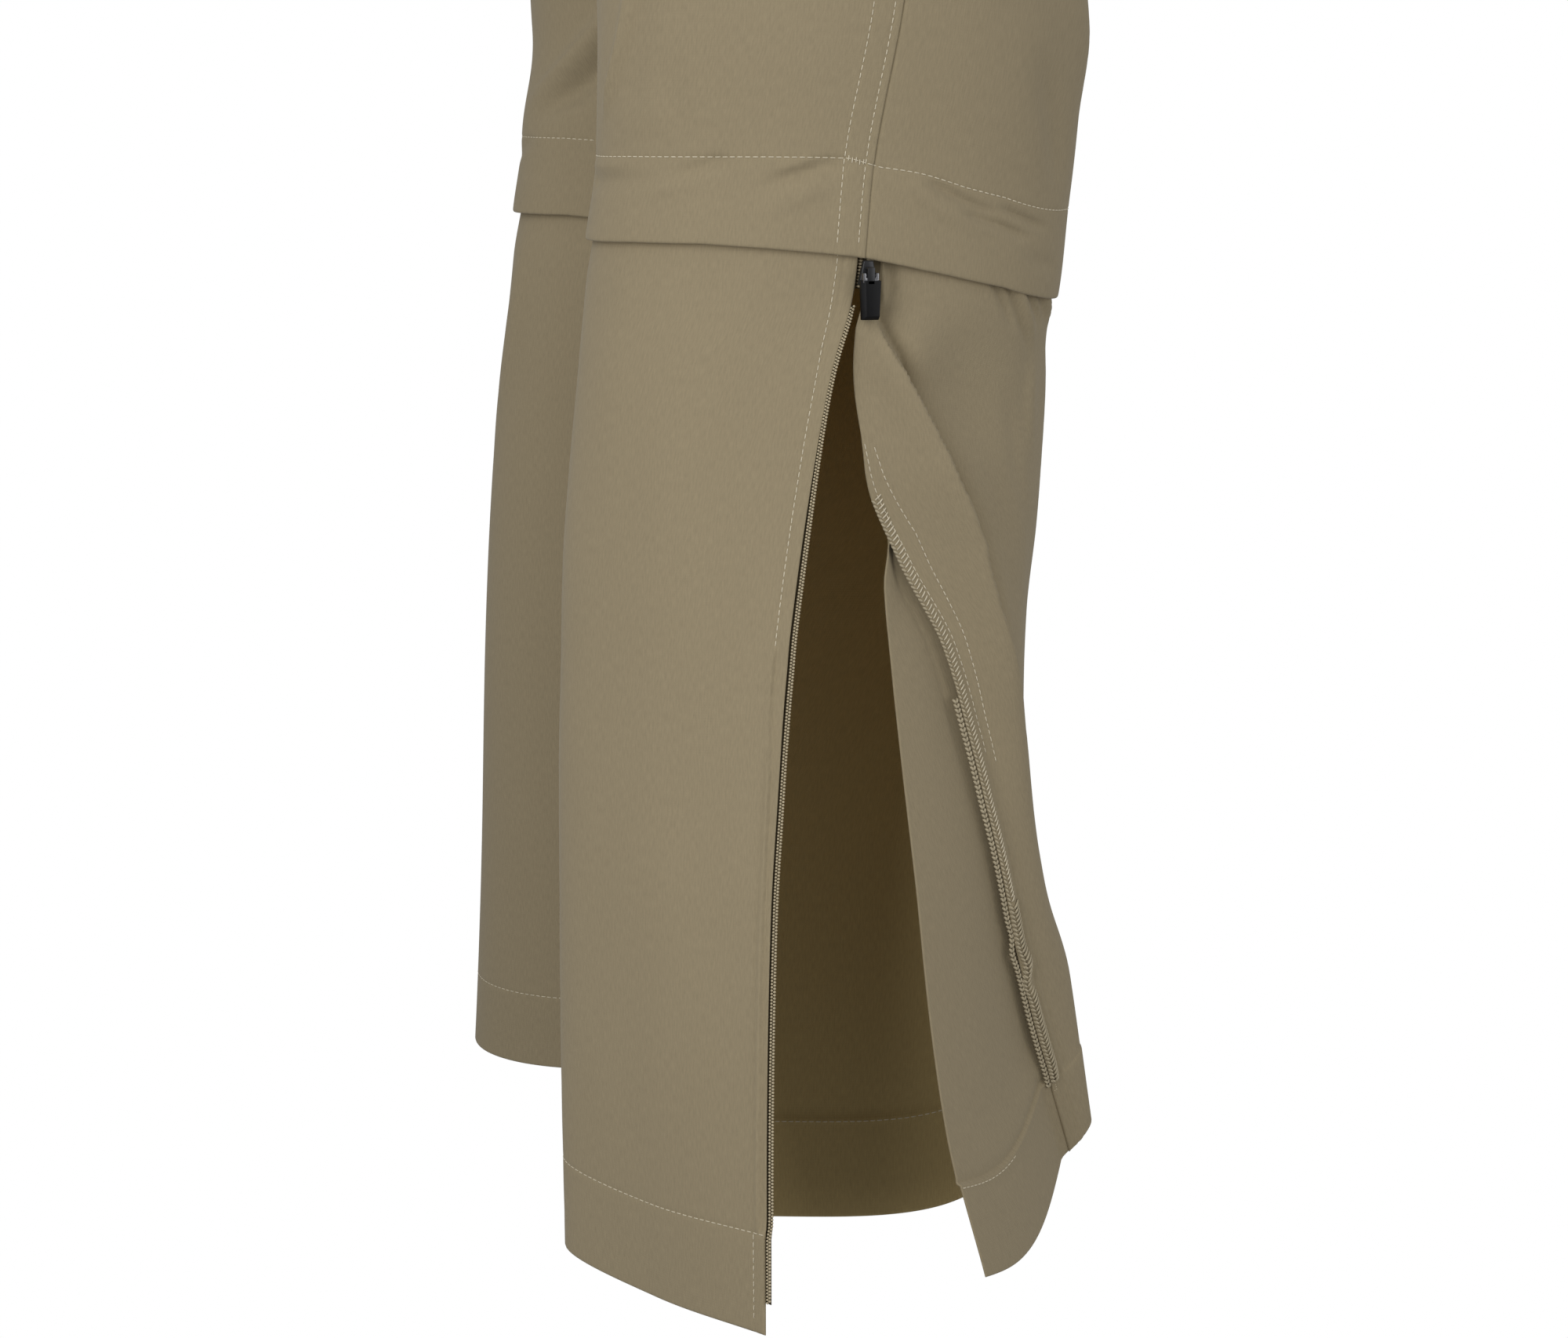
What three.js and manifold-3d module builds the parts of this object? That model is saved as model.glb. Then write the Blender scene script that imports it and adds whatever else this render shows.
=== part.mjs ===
// Hiking trousers with zip-off legs, filled out as if worn, in millimetres.
// +Z is up, the front faces -Y and the wearer's left side is +X.
// The origin is the middle of the waist opening, halfway up the waistband.
import * as THREE from "three";
import { mergeVertices } from "three/addons/utils/BufferGeometryUtils.js";
import Module from "manifold-3d";

const manifoldModule = await Module();
manifoldModule.setup();

const wall = 1.6;
const seamGap = 0.3;
const halfGap = seamGap / 2;
const kneeZipTop = -557;
const kneeZipHeight = 8.4;
const lowerTop = -566;
const lowerHeight = 441;
const rightLowerHeight = 444;
const hemBand = 38;
const hemExtra = 0.9;
const flapTop = -553;
const flapBottom = -590;

// Left half of the body in plan, one row per height. The leg's front and back are its
// foremost and rearmost points, inX is the inner edge, and inFrontY and inBackY part
// above the crotch, where they are the front and back rise.
const sections = [
  { z: 20, steps: 1, outX: 139, outY: 0, frontX: 55, frontY: -110, backX: 55, backY: 111, inX: 0, inFrontY: -110, inBackY: 111 },
  { z: -20, steps: 3, outX: 141, outY: 0, frontX: 56, frontY: -111, backX: 56, backY: 112, inX: 0, inFrontY: -111, inBackY: 112 },
  { z: -100, steps: 3, outX: 160, outY: 4, frontX: 66, frontY: -118, backX: 66, backY: 128, inX: 0, inFrontY: -118, inBackY: 127 },
  { z: -170, steps: 1, outX: 175, outY: 10, frontX: 78, frontY: -122, backX: 78, backY: 143, inX: 0, inFrontY: -117, inBackY: 137 },
  { z: -195, steps: 2, outX: 178, outY: 13, frontX: 84, frontY: -121, backX: 84, backY: 143, inX: 0, inFrontY: -106, inBackY: 126 },
  { z: -225, steps: 2, outX: 181, outY: 16, frontX: 89, frontY: -117, backX: 89, backY: 138, inX: 0, inFrontY: -78, inBackY: 102 },
  { z: -250, steps: 1, outX: 183, outY: 19, frontX: 92, frontY: -111, backX: 92, backY: 130, inX: 0.1, inFrontY: -28, inBackY: 60 },
  { z: -264, steps: 3, outX: 183, outY: 20, frontX: 93, frontY: -108, backX: 93, backY: 125, inX: 1, inFrontY: 10, inBackY: 10 },
  { z: -330, steps: 3, outX: 180, outY: 24, frontX: 95, frontY: -101, backX: 95, backY: 117, inX: 9, inFrontY: 9, inBackY: 9 },
  { z: -420, steps: 3, outX: 172, outY: 24, frontX: 95, frontY: -95, backX: 95, backY: 116, inX: 19, inFrontY: 8, inBackY: 8 },
  { z: -495, steps: 3, outX: 165, outY: 16, frontX: 95, frontY: -91, backX: 95, backY: 115, inX: 25, inFrontY: 8, inBackY: 8 },
  { z: -553, steps: 2, outX: 158.5, outY: 6.5, frontX: 93, frontY: -92, backX: 93, backY: 110.5, inX: 28, inFrontY: 6, inBackY: 6 },
  { z: -600, steps: 3, outX: 158, outY: 2, frontX: 93, frontY: -96.5, backX: 93, backY: 103, inX: 28, inFrontY: 4, inBackY: 4 },
  { z: -700, steps: 3, outX: 165, outY: -8, frontX: 103, frontY: -107, backX: 103, backY: 81, inX: 41, inFrontY: -10, inBackY: -10 },
  { z: -800, steps: 3, outX: 176, outY: -20, frontX: 115, frontY: -113, backX: 115, backY: 66, inX: 54, inFrontY: -24, inBackY: -24 },
  { z: -900, steps: 3, outX: 187, outY: -32, frontX: 127, frontY: -117, backX: 127, backY: 52, inX: 67, inFrontY: -34, inBackY: -34 },
  { z: -1010, steps: 1, outX: 201, outY: -42, frontX: 141, frontY: -122, backX: 141, backY: 38, inX: 81, inFrontY: -42, inBackY: -42 },
];

// Rails of the opened left lower leg in plan, from the front zip edge round to the rear
// zip edge. Row `down` is the share of the way from the knee zip to the hem.
const openLeg = [
  { down: 0, zip: [157.4, 1.6], shoulder: [139, -62], front: [93, -93], innerFront: [46, -62], inseam: [28.5, 5],
    innerRear: [46, 74], rear: [93, 106], outer: [131, 84], valley: [148, 54], crest: [154.5, 30], edge: [157.4, 5.4] },
  { down: 0.08, zip: [159.4, -1.5], shoulder: [140, -68], front: [93, -97], innerFront: [46, -66], inseam: [28, 4],
    innerRear: [46, 73], rear: [93, 103], outer: [131, 81], valley: [149, 50], crest: [156.5, 26], edge: [158.4, 4] },
  { down: 0.17, zip: [165, -13], shoulder: [143, -76], front: [97, -102], innerFront: [48, -71], inseam: [29, 1],
    innerRear: [46, 70], rear: [95, 102], outer: [131, 80], valley: [149, 45], crest: [162.5, 22], edge: [158, 1] },
  { down: 0.26, zip: [171, -22], shoulder: [146, -82], front: [101, -107], innerFront: [52, -77], inseam: [32, -5],
    innerRear: [46, 67], rear: [98, 99.5], outer: [131, 83], valley: [148, 60], crest: [163, 40.5], edge: [161, 5.5] },
  { down: 0.35, zip: [178, -30], shoulder: [149, -86], front: [105, -111], innerFront: [55, -81], inseam: [35, -11],
    innerRear: [47, 64], rear: [101, 96], outer: [130, 85], valley: [146, 70], crest: [160, 55.5], edge: [160, 21] },
  { down: 0.44, zip: [186, -37], shoulder: [152, -89], front: [108, -113], innerFront: [60, -84], inseam: [40, -18],
    innerRear: [50, 62], rear: [104, 91], outer: [128, 84.5], valley: [143, 77], crest: [157, 67], edge: [158.5, 42] },
  { down: 0.54, zip: [196, -43], shoulder: [158, -92], front: [113, -115.5], innerFront: [67, -87], inseam: [49, -25],
    innerRear: [57, 57], rear: [106, 89.5], outer: [126.5, 85], valley: [140, 81], crest: [152, 75.5], edge: [155.5, 57] },
  { down: 0.64, zip: [208, -49], shoulder: [166, -94], front: [118, -117], innerFront: [76, -90], inseam: [60, -32],
    innerRear: [67, 54], rear: [108, 93], outer: [125, 92], valley: [137, 88.5], crest: [147, 82.5], edge: [152.5, 68] },
  { down: 0.82, zip: [228, -56], shoulder: [180, -95], front: [128, -119.5], innerFront: [95, -92], inseam: [86, -40],
    innerRear: [93, 52], rear: [117, 107], outer: [126, 107.5], valley: [133, 105], crest: [139.5, 98], edge: [146, 84] },
  { down: 1, zip: [247, -61], shoulder: [193, -94], front: [139, -121], innerFront: [118, -99], inseam: [115, -50],
    innerRear: [121, 54], rear: [122.5, 116], outer: [126, 119], valley: [129, 119], crest: [132.5, 115], edge: [136, 108] },
];
const railNames = ["zip", "shoulder", "front", "innerFront", "inseam", "innerRear",
  "rear", "outer", "valley", "crest", "edge"];
const inseamRail = 4;
const lastRail = railNames.length - 1;

// How much higher each rail of the opened leg ends at the hem.
const hemRise = { zip: 0, shoulder: -3, front: 0, innerFront: -2, inseam: -4, innerRear: -6,
  rear: 28, outer: 31, valley: 29, crest: 25, edge: 19 };

// Free edge of the underlap behind the opened zip.
const underlapEdge = [
  { down: 0.28, x: 156, y: 5 },
  { down: 0.35, x: 160.5, y: 11.6 },
  { down: 0.44, x: 166, y: 14 },
  { down: 0.53, x: 171, y: 17.3 },
  { down: 0.64, x: 180, y: 21 },
  { down: 0.76, x: 190, y: 24.3 },
  { down: 0.87, x: 201, y: 29 },
  { down: 1, x: 215, y: 41 },
];
const underlapTop = underlapEdge[0].down;

// Soft ridges pressed out of the thigh cloth. Each runs from its upper to its lower end.
const thighFolds = [
  { side: 1, upper: [138, -480], lower: [126, -545], face: "front", width: 16, height: 2.4 },
  { side: -1, upper: [128, -490], lower: [152, -545], face: "front", width: 18, height: 2.6 },
  { side: -1, upper: [116, -440], lower: [136, -520], face: "front", width: 20, height: 2.2 },
];

const clothMaterial = () => new THREE.MeshStandardMaterial({ color: 0x8a7f66, roughness: 0.9, metalness: 0 });
const tapeMaterial = () => new THREE.MeshStandardMaterial({ color: 0x6f6550, roughness: 0.8, metalness: 0 });
const metalMaterial = () => new THREE.MeshStandardMaterial({ color: 0x5a5a5a, roughness: 0.35, metalness: 0.9 });
const plasticMaterial = () => new THREE.MeshStandardMaterial({ color: 0x1c1c1c, roughness: 0.4, metalness: 0 });

const garment = new THREE.Group();
garment.name = "hiking_trousers";

function addNode(name, geometry, material) {
  const mesh = new THREE.Mesh(geometry, material);
  mesh.name = name;
  garment.add(mesh);
}

// Value of one table column between its rows, on a smooth curve through them.
function tableValue(rows, at, position, read) {
  const last = rows.length - 1;
  let row = 0;
  const rising = rows[last][at] > rows[0][at];
  while (row < last - 1 && (rising ? position > rows[row + 1][at] : position < rows[row + 1][at])) {
    row += 1;
  }
  const slope = (k) => (read(rows[k + 1]) - read(rows[k])) / (rows[k + 1][at] - rows[k][at]);
  const tangent = (k) => {
    if (k === 0) return slope(0);
    if (k === last) return slope(last - 1);
    const before = slope(k - 1);
    const after = slope(k);
    return before * after > 0 ? (2 * before * after) / (before + after) : 0;
  };
  const span = rows[row + 1][at] - rows[row][at];
  const t = Math.min(1, Math.max(0, (position - rows[row][at]) / span));
  const t2 = t * t;
  const t3 = t2 * t;
  return read(rows[row]) * (2 * t3 - 3 * t2 + 1) + tangent(row) * span * (t3 - 2 * t2 + t)
    + read(rows[row + 1]) * (3 * t2 - 2 * t3) + tangent(row + 1) * span * (t3 - t2);
}

function smoothStep(low, high, value) {
  const t = Math.min(1, Math.max(0, (value - low) / (high - low)));
  return t * t * (3 - 2 * t);
}

// The knee zip and its flap dip toward the back of the leg.
function kneeDip(z, y) {
  const near = smoothStep(-470, -545, z) * (1 - smoothStep(-620, -720, z));
  return -23 * smoothStep(0, 100, y) * near;
}

function thighFoldAt(side, face, x, z) {
  let height = 0;
  for (const fold of thighFolds) {
    if (fold.side !== side || fold.face !== face) continue;
    const along = (z - fold.upper[1]) / (fold.lower[1] - fold.upper[1]);
    const centreX = fold.upper[0] + (fold.lower[0] - fold.upper[0]) * along;
    const across = (x - centreX) / fold.width;
    const fade = smoothStep(-0.5, 0.2, along) * (1 - smoothStep(0.8, 1.1, along));
    height += fold.height * fade * Math.exp(-across * across);
  }
  return height;
}

// The right leg hangs a little further back than the left.
function hangsBack(side, z) {
  if (side === 1) return 0;
  return 6 * smoothStep(-380, -470, z) * (1 - smoothStep(-500, -555, z)) + 5 * smoothStep(-680, -1010, z);
}

// Point on the closed outline at a height. `turn` runs 0 at the outseam to 1 at the
// inner edge, over the front or the back, on two quarter ovals.
function closedPoint(side, face, turn, z) {
  const read = (key) => tableValue(sections, "z", z, (row) => row[key]);
  const front = face === "front";
  const outX = read("outX");
  const outY = read("outY");
  const peakX = read(front ? "frontX" : "backX");
  const peakY = read(front ? "frontY" : "backY");
  const seamShift = halfGap * smoothStep(-225, -245, z);
  const innerY = read(front ? "inFrontY" : "inBackY") + (front ? -seamShift : seamShift);
  const innerX = Math.max(halfGap, read("inX"));
  const point = new THREE.Vector3(0, 0, z);
  if (turn <= 0.5) {
    const angle = turn * Math.PI;
    point.x = peakX + (outX - peakX) * Math.cos(angle);
    point.y = outY + (peakY - outY) * Math.sin(angle);
  } else {
    const angle = (turn - 0.5) * Math.PI;
    const roundness = smoothStep(2, 40, Math.abs(peakY - innerY));
    const flatShare = 2 * turn - 1;
    point.x = peakX + (innerX - peakX) * THREE.MathUtils.lerp(flatShare, Math.sin(angle), roundness);
    point.y = innerY + (peakY - innerY) * Math.cos(angle);
  }
  const fold = thighFoldAt(side, face, point.x, z);
  point.y += (front ? -fold : fold) + hangsBack(side, z);
  point.z += kneeDip(z, point.y);
  point.x *= side;
  return point;
}

// Point on the opened left lower leg. `station` counts along the rails.
function openPoint(station, down) {
  const controls = railNames.map((name) => {
    const x = tableValue(openLeg, "down", down, (row) => row[name][0]);
    const y = tableValue(openLeg, "down", down, (row) => row[name][1]);
    const height = lowerHeight - hemRise[name];
    const z = lowerTop - down * height;
    return new THREE.Vector3(x, y, z + kneeDip(z, y) * (1 - smoothStep(0.1, 0.5, down)));
  });
  const curve = new THREE.CatmullRomCurve3(controls, false, "centripetal");
  return curve.getPoint(Math.min(1, Math.max(0, station / lastRail)));
}

// Outward direction of a grid surface, by small steps along it.
function surfaceNormal(pointAt, across, down, flip) {
  const step = 0.004;
  const a = pointAt(Math.max(0, across - step), down);
  const b = pointAt(Math.min(1, across + step), down);
  const c = pointAt(across, Math.max(0, down - step));
  const d = pointAt(across, Math.min(1, down + step));
  const normal = b.sub(a).cross(d.sub(c)).normalize();
  return flip ? normal.negate() : normal;
}

function movedOut(pointAt, distanceAt, flip) {
  return (across, down) => {
    const normal = surfaceNormal(pointAt, across, down, flip);
    return pointAt(across, down).addScaledVector(normal, distanceAt(across, down));
  };
}

// Closed solid of sheet cloth: an outer grid, an inner grid set in by the thickness, and
// the four edges between them.
function clothSolid({ pointAt, columns, rows, thicknessAt, flip }) {
  const acrossAt = Array.from({ length: columns + 1 }, (_, k) => k / columns);
  const downAt = Array.isArray(rows) ? rows : Array.from({ length: rows + 1 }, (_, k) => k / rows);
  const outer = [];
  const inner = [];
  for (const down of downAt) {
    for (const across of acrossAt) {
      const point = pointAt(across, down);
      const normal = surfaceNormal(pointAt, across, down, flip);
      outer.push(point);
      inner.push(point.clone().addScaledVector(normal, -thicknessAt(across, down)));
    }
  }
  const width = acrossAt.length;
  const offset = outer.length;
  const faces = [];
  const quad = (a, b, c, d) => {
    if (flip) {
      faces.push(a, c, b, a, d, c);
    } else {
      faces.push(a, b, c, a, c, d);
    }
  };
  const lastRow = downAt.length - 1;
  for (let row = 0; row < lastRow; row += 1) {
    for (let column = 0; column < columns; column += 1) {
      const a = row * width + column;
      const c = a + width + 1;
      quad(a, a + 1, c, c - 1);
      quad(offset + a, offset + c - 1, offset + c, offset + a + 1);
    }
  }
  for (let column = 0; column < columns; column += 1) {
    const top = column;
    const bottom = lastRow * width + column;
    quad(offset + top, offset + top + 1, top + 1, top);
    quad(bottom, bottom + 1, offset + bottom + 1, offset + bottom);
  }
  for (let row = 0; row < lastRow; row += 1) {
    const start = row * width;
    const end = start + columns;
    quad(start, start + width, offset + start + width, offset + start);
    quad(offset + end, offset + end + width, end + width, end);
  }
  const positions = [...outer, ...inner].flatMap((point) => [point.x, point.y, point.z]);
  const geometry = new THREE.BufferGeometry();
  geometry.setAttribute("position", new THREE.Float32BufferAttribute(positions, 3));
  geometry.setIndex(faces);
  geometry.computeVertexNormals();
  return geometry;
}

const plainThickness = () => wall;

// Shares down a panel where its rows fall, from the steps asked by the section table.
function sectionRows(top, bottom) {
  const heights = [];
  for (let k = 0; k < sections.length - 1; k += 1) {
    const upper = sections[k].z;
    const lower = sections[k + 1].z;
    for (let step = 0; step < sections[k].steps; step += 1) {
      heights.push(upper + ((lower - upper) * step) / sections[k].steps);
    }
  }
  const inside = heights.filter((z) => z < top - 4 && z > bottom + 4);
  return [top, ...inside, bottom].map((z) => (z - top) / (bottom - top));
}

// Share of the outline from the outseam, for half the gap at a seam or at the side zip.
const seamTurn = 0.001;
const zipTurn = 0.0052;

function closedPanel({ name, side, face, top, bottom, start, thicknessAt, outAt, columns, rows }) {
  const flip = (side === 1) !== (face === "front");
  const height = (down) => top + (bottom - top) * down;
  const base = (across, down) => closedPoint(side, face, start + (1 - start) * across, height(down));
  const pointAt = outAt ? movedOut(base, (across, down) => outAt(height(down)), flip) : base;
  const form = { pointAt, columns, rows: rows || sectionRows(top, bottom), thicknessAt, flip };
  addNode(name, clothSolid(form), clothMaterial());
}

// Wall of a lower leg, thicker where the hem is turned up inside, but not at the side zip.
function hemThickness(across, down) {
  const height = down * lowerHeight;
  const turnedUp = smoothStep(lowerHeight - hemBand - 3, lowerHeight - hemBand, height);
  return wall + hemExtra * turnedUp * smoothStep(0.06, 0.14, across);
}

// The lower leg starts inside the flap and comes out level with it.
const tuckedIn = (z) => -2.2 + 2.2 * smoothStep(-572, -606, z);
const flapFlare = (z) => 1.6 * smoothStep(flapTop, flapBottom, z);
const hemShare = (lowerHeight - hemBand) / lowerHeight;

const sides = [
  { side: 1, label: "left" },
  { side: -1, label: "right" },
];

for (const { side, label } of sides) {
  for (const face of ["front", "back"]) {
    closedPanel({
      name: `${face}_thigh_${label}`, side, face, top: -20 - seamGap, bottom: flapTop + halfGap,
      start: seamTurn, thicknessAt: plainThickness, columns: 12,
    });
    closedPanel({
      name: `knee_flap_${face}_${label}`, side, face, top: flapTop - halfGap, bottom: flapBottom,
      start: seamTurn, thicknessAt: plainThickness, outAt: flapFlare, columns: 12, rows: 3,
    });
  }
}

// Zip ring that joins thigh and lower leg inside the flap. Its ends meet at the inseam.
for (const { side, label } of sides) {
  const flip = side === -1;
  const ringPoint = (across, down) => {
    const z = kneeZipTop - kneeZipHeight * down;
    const turn = Math.abs(1 - 2 * across);
    return closedPoint(side, across < 0.5 ? "back" : "front", turn, z);
  };
  const pointAt = movedOut(ringPoint, () => -wall - seamGap - 0.5, flip);
  const form = { pointAt, columns: 36, rows: 1, thicknessAt: plainThickness, flip };
  addNode(`knee_zip_${label}`, clothSolid(form), tapeMaterial());
}

const lowerRows = [0, 0.055, 0.11, 0.18, 0.26, 0.35, 0.44, 0.54, 0.64, 0.73, 0.82, hemShare - 0.008, hemShare, 1];

for (const face of ["front", "back"]) {
  closedPanel({
    name: face === "front" ? "shin_right" : "calf_right", side: -1, face, top: lowerTop,
    bottom: lowerTop - rightLowerHeight, start: zipTurn, thicknessAt: hemThickness, outAt: tuckedIn,
    columns: 12, rows: lowerRows,
  });
}

// The opened left lower leg leaves the closed outline just below the slider.
const closedTurns = [0, 0.25, 0.5, 0.75, 1, 0.75, 0.5, 0.3, 0.17, 0.08, 0];

function closedStation(station, down) {
  const rail = Math.min(lastRail - 1, Math.floor(station));
  const turn = closedTurns[rail] + (closedTurns[rail + 1] - closedTurns[rail]) * (station - rail);
  const face = station < inseamRail ? "front" : "back";
  return closedPoint(1, face, zipTurn + (1 - zipTurn) * turn, lowerTop - lowerHeight * down);
}

function leftLower(station, down) {
  const opened = smoothStep(0.04, 0.14, down);
  if (opened === 0) return closedStation(station, down);
  if (opened === 1) return openPoint(station, down);
  return closedStation(station, down).lerp(openPoint(station, down), opened);
}

function leftPanel(firstStation, lastStation, flip) {
  const base = (across, down) => leftLower(firstStation + (lastStation - firstStation) * across, down);
  return movedOut(base, (across, down) => tuckedIn(lowerTop - lowerHeight * down), flip);
}

const seamStation = 0.0025;
const shinLeft = leftPanel(0, inseamRail - seamStation, false);
const calfLeft = leftPanel(lastRail, inseamRail + seamStation, true);

addNode("shin_left", clothSolid({
  pointAt: shinLeft, columns: 14, rows: lowerRows, thicknessAt: hemThickness, flip: false,
}), clothMaterial());
addNode("calf_left", clothSolid({
  pointAt: calfLeft, columns: 20, rows: lowerRows, thicknessAt: hemThickness, flip: true,
}), clothMaterial());

// Point near a zip edge: `beyond` runs on past the cloth edge and `out` away from the leg.
function beyondEdge(panel, flip, down, beyond, out) {
  const edge = panel(0, down);
  const inside = panel(0.02, down);
  const along = edge.clone().sub(inside).normalize();
  const normal = surfaceNormal(panel, 0.004, down, flip);
  return edge.addScaledVector(along, beyond).addScaledVector(normal, out);
}

// Section of an opened zip half, from under the cloth to its coil.
const zipHalf = [
  { across: 0, beyond: -3, out: -2.1, thick: 0.8 },
  { across: 0.4, beyond: 0.4, out: -2.1, thick: 0.8 },
  { across: 0.6, beyond: 1.6, out: -1.2, thick: 1.7 },
  { across: 0.8, beyond: 2.8, out: -1, thick: 2 },
  { across: 1, beyond: 3.6, out: -1.5, thick: 1.2 },
];
const zipHalfValue = (across, key) => tableValue(zipHalf, "across", across, (row) => row[key]);

function openedZip(name, panel, flip, firstDown, lastDown) {
  const share = (down) => firstDown + (lastDown - firstDown) * down;
  const pointAt = (across, down) => {
    const beyond = zipHalfValue(1 - across, "beyond");
    return beyondEdge(panel, flip, share(down), beyond, zipHalfValue(1 - across, "out"));
  };
  const thicknessAt = (across) => zipHalfValue(1 - across, "thick");
  addNode(name, clothSolid({ pointAt, columns: 5, rows: 18, thicknessAt, flip }), tapeMaterial());
}

openedZip("side_zip_front_left", shinLeft, false, 0.11, 0.972);
openedZip("side_zip_rear_left", calfLeft, true, 0.125, 0.94);

// Underlap behind the opened zip: sewn along the rear zip edge, with a free front edge.
const underlapSewn = 0.2;
const underlapDepth = -3.6;

function underlapPoint(across, down) {
  const share = underlapTop + (1 - underlapTop) * down;
  if (across < underlapSewn) {
    const beyond = THREE.MathUtils.lerp(-3, 5, across / underlapSewn);
    return beyondEdge(calfLeft, true, share, beyond, underlapDepth);
  }
  const past = (across - underlapSewn) / (1 - underlapSewn);
  const bend = beyondEdge(calfLeft, true, share, 5, underlapDepth);
  const x = tableValue(underlapEdge, "down", share, (row) => row.x);
  const y = tableValue(underlapEdge, "down", share, (row) => row.y);
  const free = new THREE.Vector3(x, y, lowerTop - lowerHeight * share);
  const point = bend.lerp(free, past);
  const swell = Math.sin(Math.PI * past);
  point.x += 3 * down * swell;
  point.y += 3 * down * swell;
  point.z -= 12 * down * swell;
  return point;
}

addNode("underlap_left", clothSolid({
  pointAt: underlapPoint, columns: 10, rows: 14, thicknessAt: () => 1.3, flip: false,
}), clothMaterial());

// Closed side zip: a flat tape under both panels, with its coil in the gap between them.
const closedZip = [
  { across: 0, aside: -7, out: -2.5 },
  { across: 0.4, aside: -1, out: -2.5 },
  { across: 0.5, aside: 0, out: -0.9 },
  { across: 0.6, aside: 1, out: -2.5 },
  { across: 1, aside: 7, out: -2.5 },
];
const tapeThickness = 0.8;

function closedSideZip(name, side, top, bottom, rows) {
  const surface = (face) => {
    const flip = (side === 1) !== (face === "front");
    const base = (turn, down) => closedPoint(side, face, turn, top + (bottom - top) * down);
    return (turn, down, out) => {
      const normal = surfaceNormal(base, turn, down, flip);
      return base(turn, down).addScaledVector(normal, out);
    };
  };
  const frontSurface = surface("front");
  const backSurface = surface("back");
  const pointAt = (across, down) => {
    const aside = tableValue(closedZip, "across", across, (row) => row.aside);
    const out = tableValue(closedZip, "across", across, (row) => row.out);
    const depth = out + tuckedIn(top + (bottom - top) * down);
    const turn = Math.abs(aside) / 250;
    return aside < 0 ? backSurface(turn, down, depth) : frontSurface(turn, down, depth);
  };
  const form = { pointAt, columns: 10, rows, thicknessAt: () => tapeThickness, flip: side === -1 };
  addNode(name, clothSolid(form), tapeMaterial());
}

closedSideZip("side_zip_right", -1, lowerTop - 2, lowerTop - rightLowerHeight + 14, 28);
closedSideZip("side_zip_top_left", 1, lowerTop - 2, -606, 2);

// Waistband: one strip whose ends lap at the centre front.
const bandLap = 0.14;
const lapWidth = 17;
const bandThickness = 2.4;

function waistbandPoint(across, down) {
  const z = 20 - 40 * down;
  const travel = across * (4 + 2 * bandLap) - bandLap;
  if (travel < 0 || travel > 4) {
    const past = travel < 0 ? travel : travel - 4;
    const front = closedPoint(1, "front", 1, z);
    return front.setX((past / bandLap) * lapWidth);
  }
  if (travel < 1) return closedPoint(1, "front", 1 - travel, z);
  if (travel < 2) return closedPoint(1, "back", travel - 1, z);
  if (travel < 3) return closedPoint(-1, "back", 3 - travel, z);
  return closedPoint(-1, "front", travel - 3, z);
}

const bandLayer = (across) => -3.2 * (1 - smoothStep(0.05, 0.1, across));
addNode("waistband", clothSolid({
  pointAt: movedOut(waistbandPoint, bandLayer, true), columns: 62, rows: 2,
  thicknessAt: () => bandThickness, flip: true,
}), clothMaterial());

// Fly shield behind the centre front opening, on the inside of both fronts.
const flyShare = 0.17;
const flyTop = -24;
const flyLength = 140;

function flyPoint(across, down) {
  const turn = 1 - flyShare * Math.abs(1 - 2 * across);
  return closedPoint(across < 0.5 ? -1 : 1, "front", turn, flyTop - flyLength * down);
}

addNode("fly_shield", clothSolid({
  pointAt: movedOut(flyPoint, () => -wall - 0.7, true), columns: 8, rows: 7, thicknessAt: plainThickness, flip: true,
}), clothMaterial());

function toSolid(geometry) {
  const merged = mergeVertices(new THREE.BufferGeometry().copy(geometry).deleteAttribute("normal").deleteAttribute("uv"), 1e-4);
  const mesh = new manifoldModule.Mesh({
    numProp: 3,
    vertProperties: new Float32Array(merged.attributes.position.array),
    triVerts: new Uint32Array(merged.index.array),
  });
  return new manifoldModule.Manifold(mesh);
}

function toGeometry(solid) {
  const mesh = solid.getMesh();
  const geometry = new THREE.BufferGeometry();
  geometry.setAttribute("position", new THREE.Float32BufferAttribute(mesh.vertProperties, 3));
  geometry.setIndex(Array.from(mesh.triVerts));
  geometry.computeVertexNormals();
  return geometry;
}

function block(sizeX, sizeY, sizeZ, x, y, z) {
  return toSolid(new THREE.BoxGeometry(sizeX, sizeY, sizeZ).translate(x, y, z));
}

// Hardware is built with X away from the leg, from x = 0 just off the cloth, and with
// the pull's pin at z = 0.
const pinX = 5.4;
const sliderBody = { depth: 3, width: 9, top: 6, bottom: -4 };
const bail = { width: 3, reach: 7.3, halfHeight: 3.4, bar: 0.9 };
const pull = { width: 7.6, thick: 3.8, top: 1.2, bottom: -17.5, slot: 3.8, slotBottom: -5.2, pinRadius: 0.7 };

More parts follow.
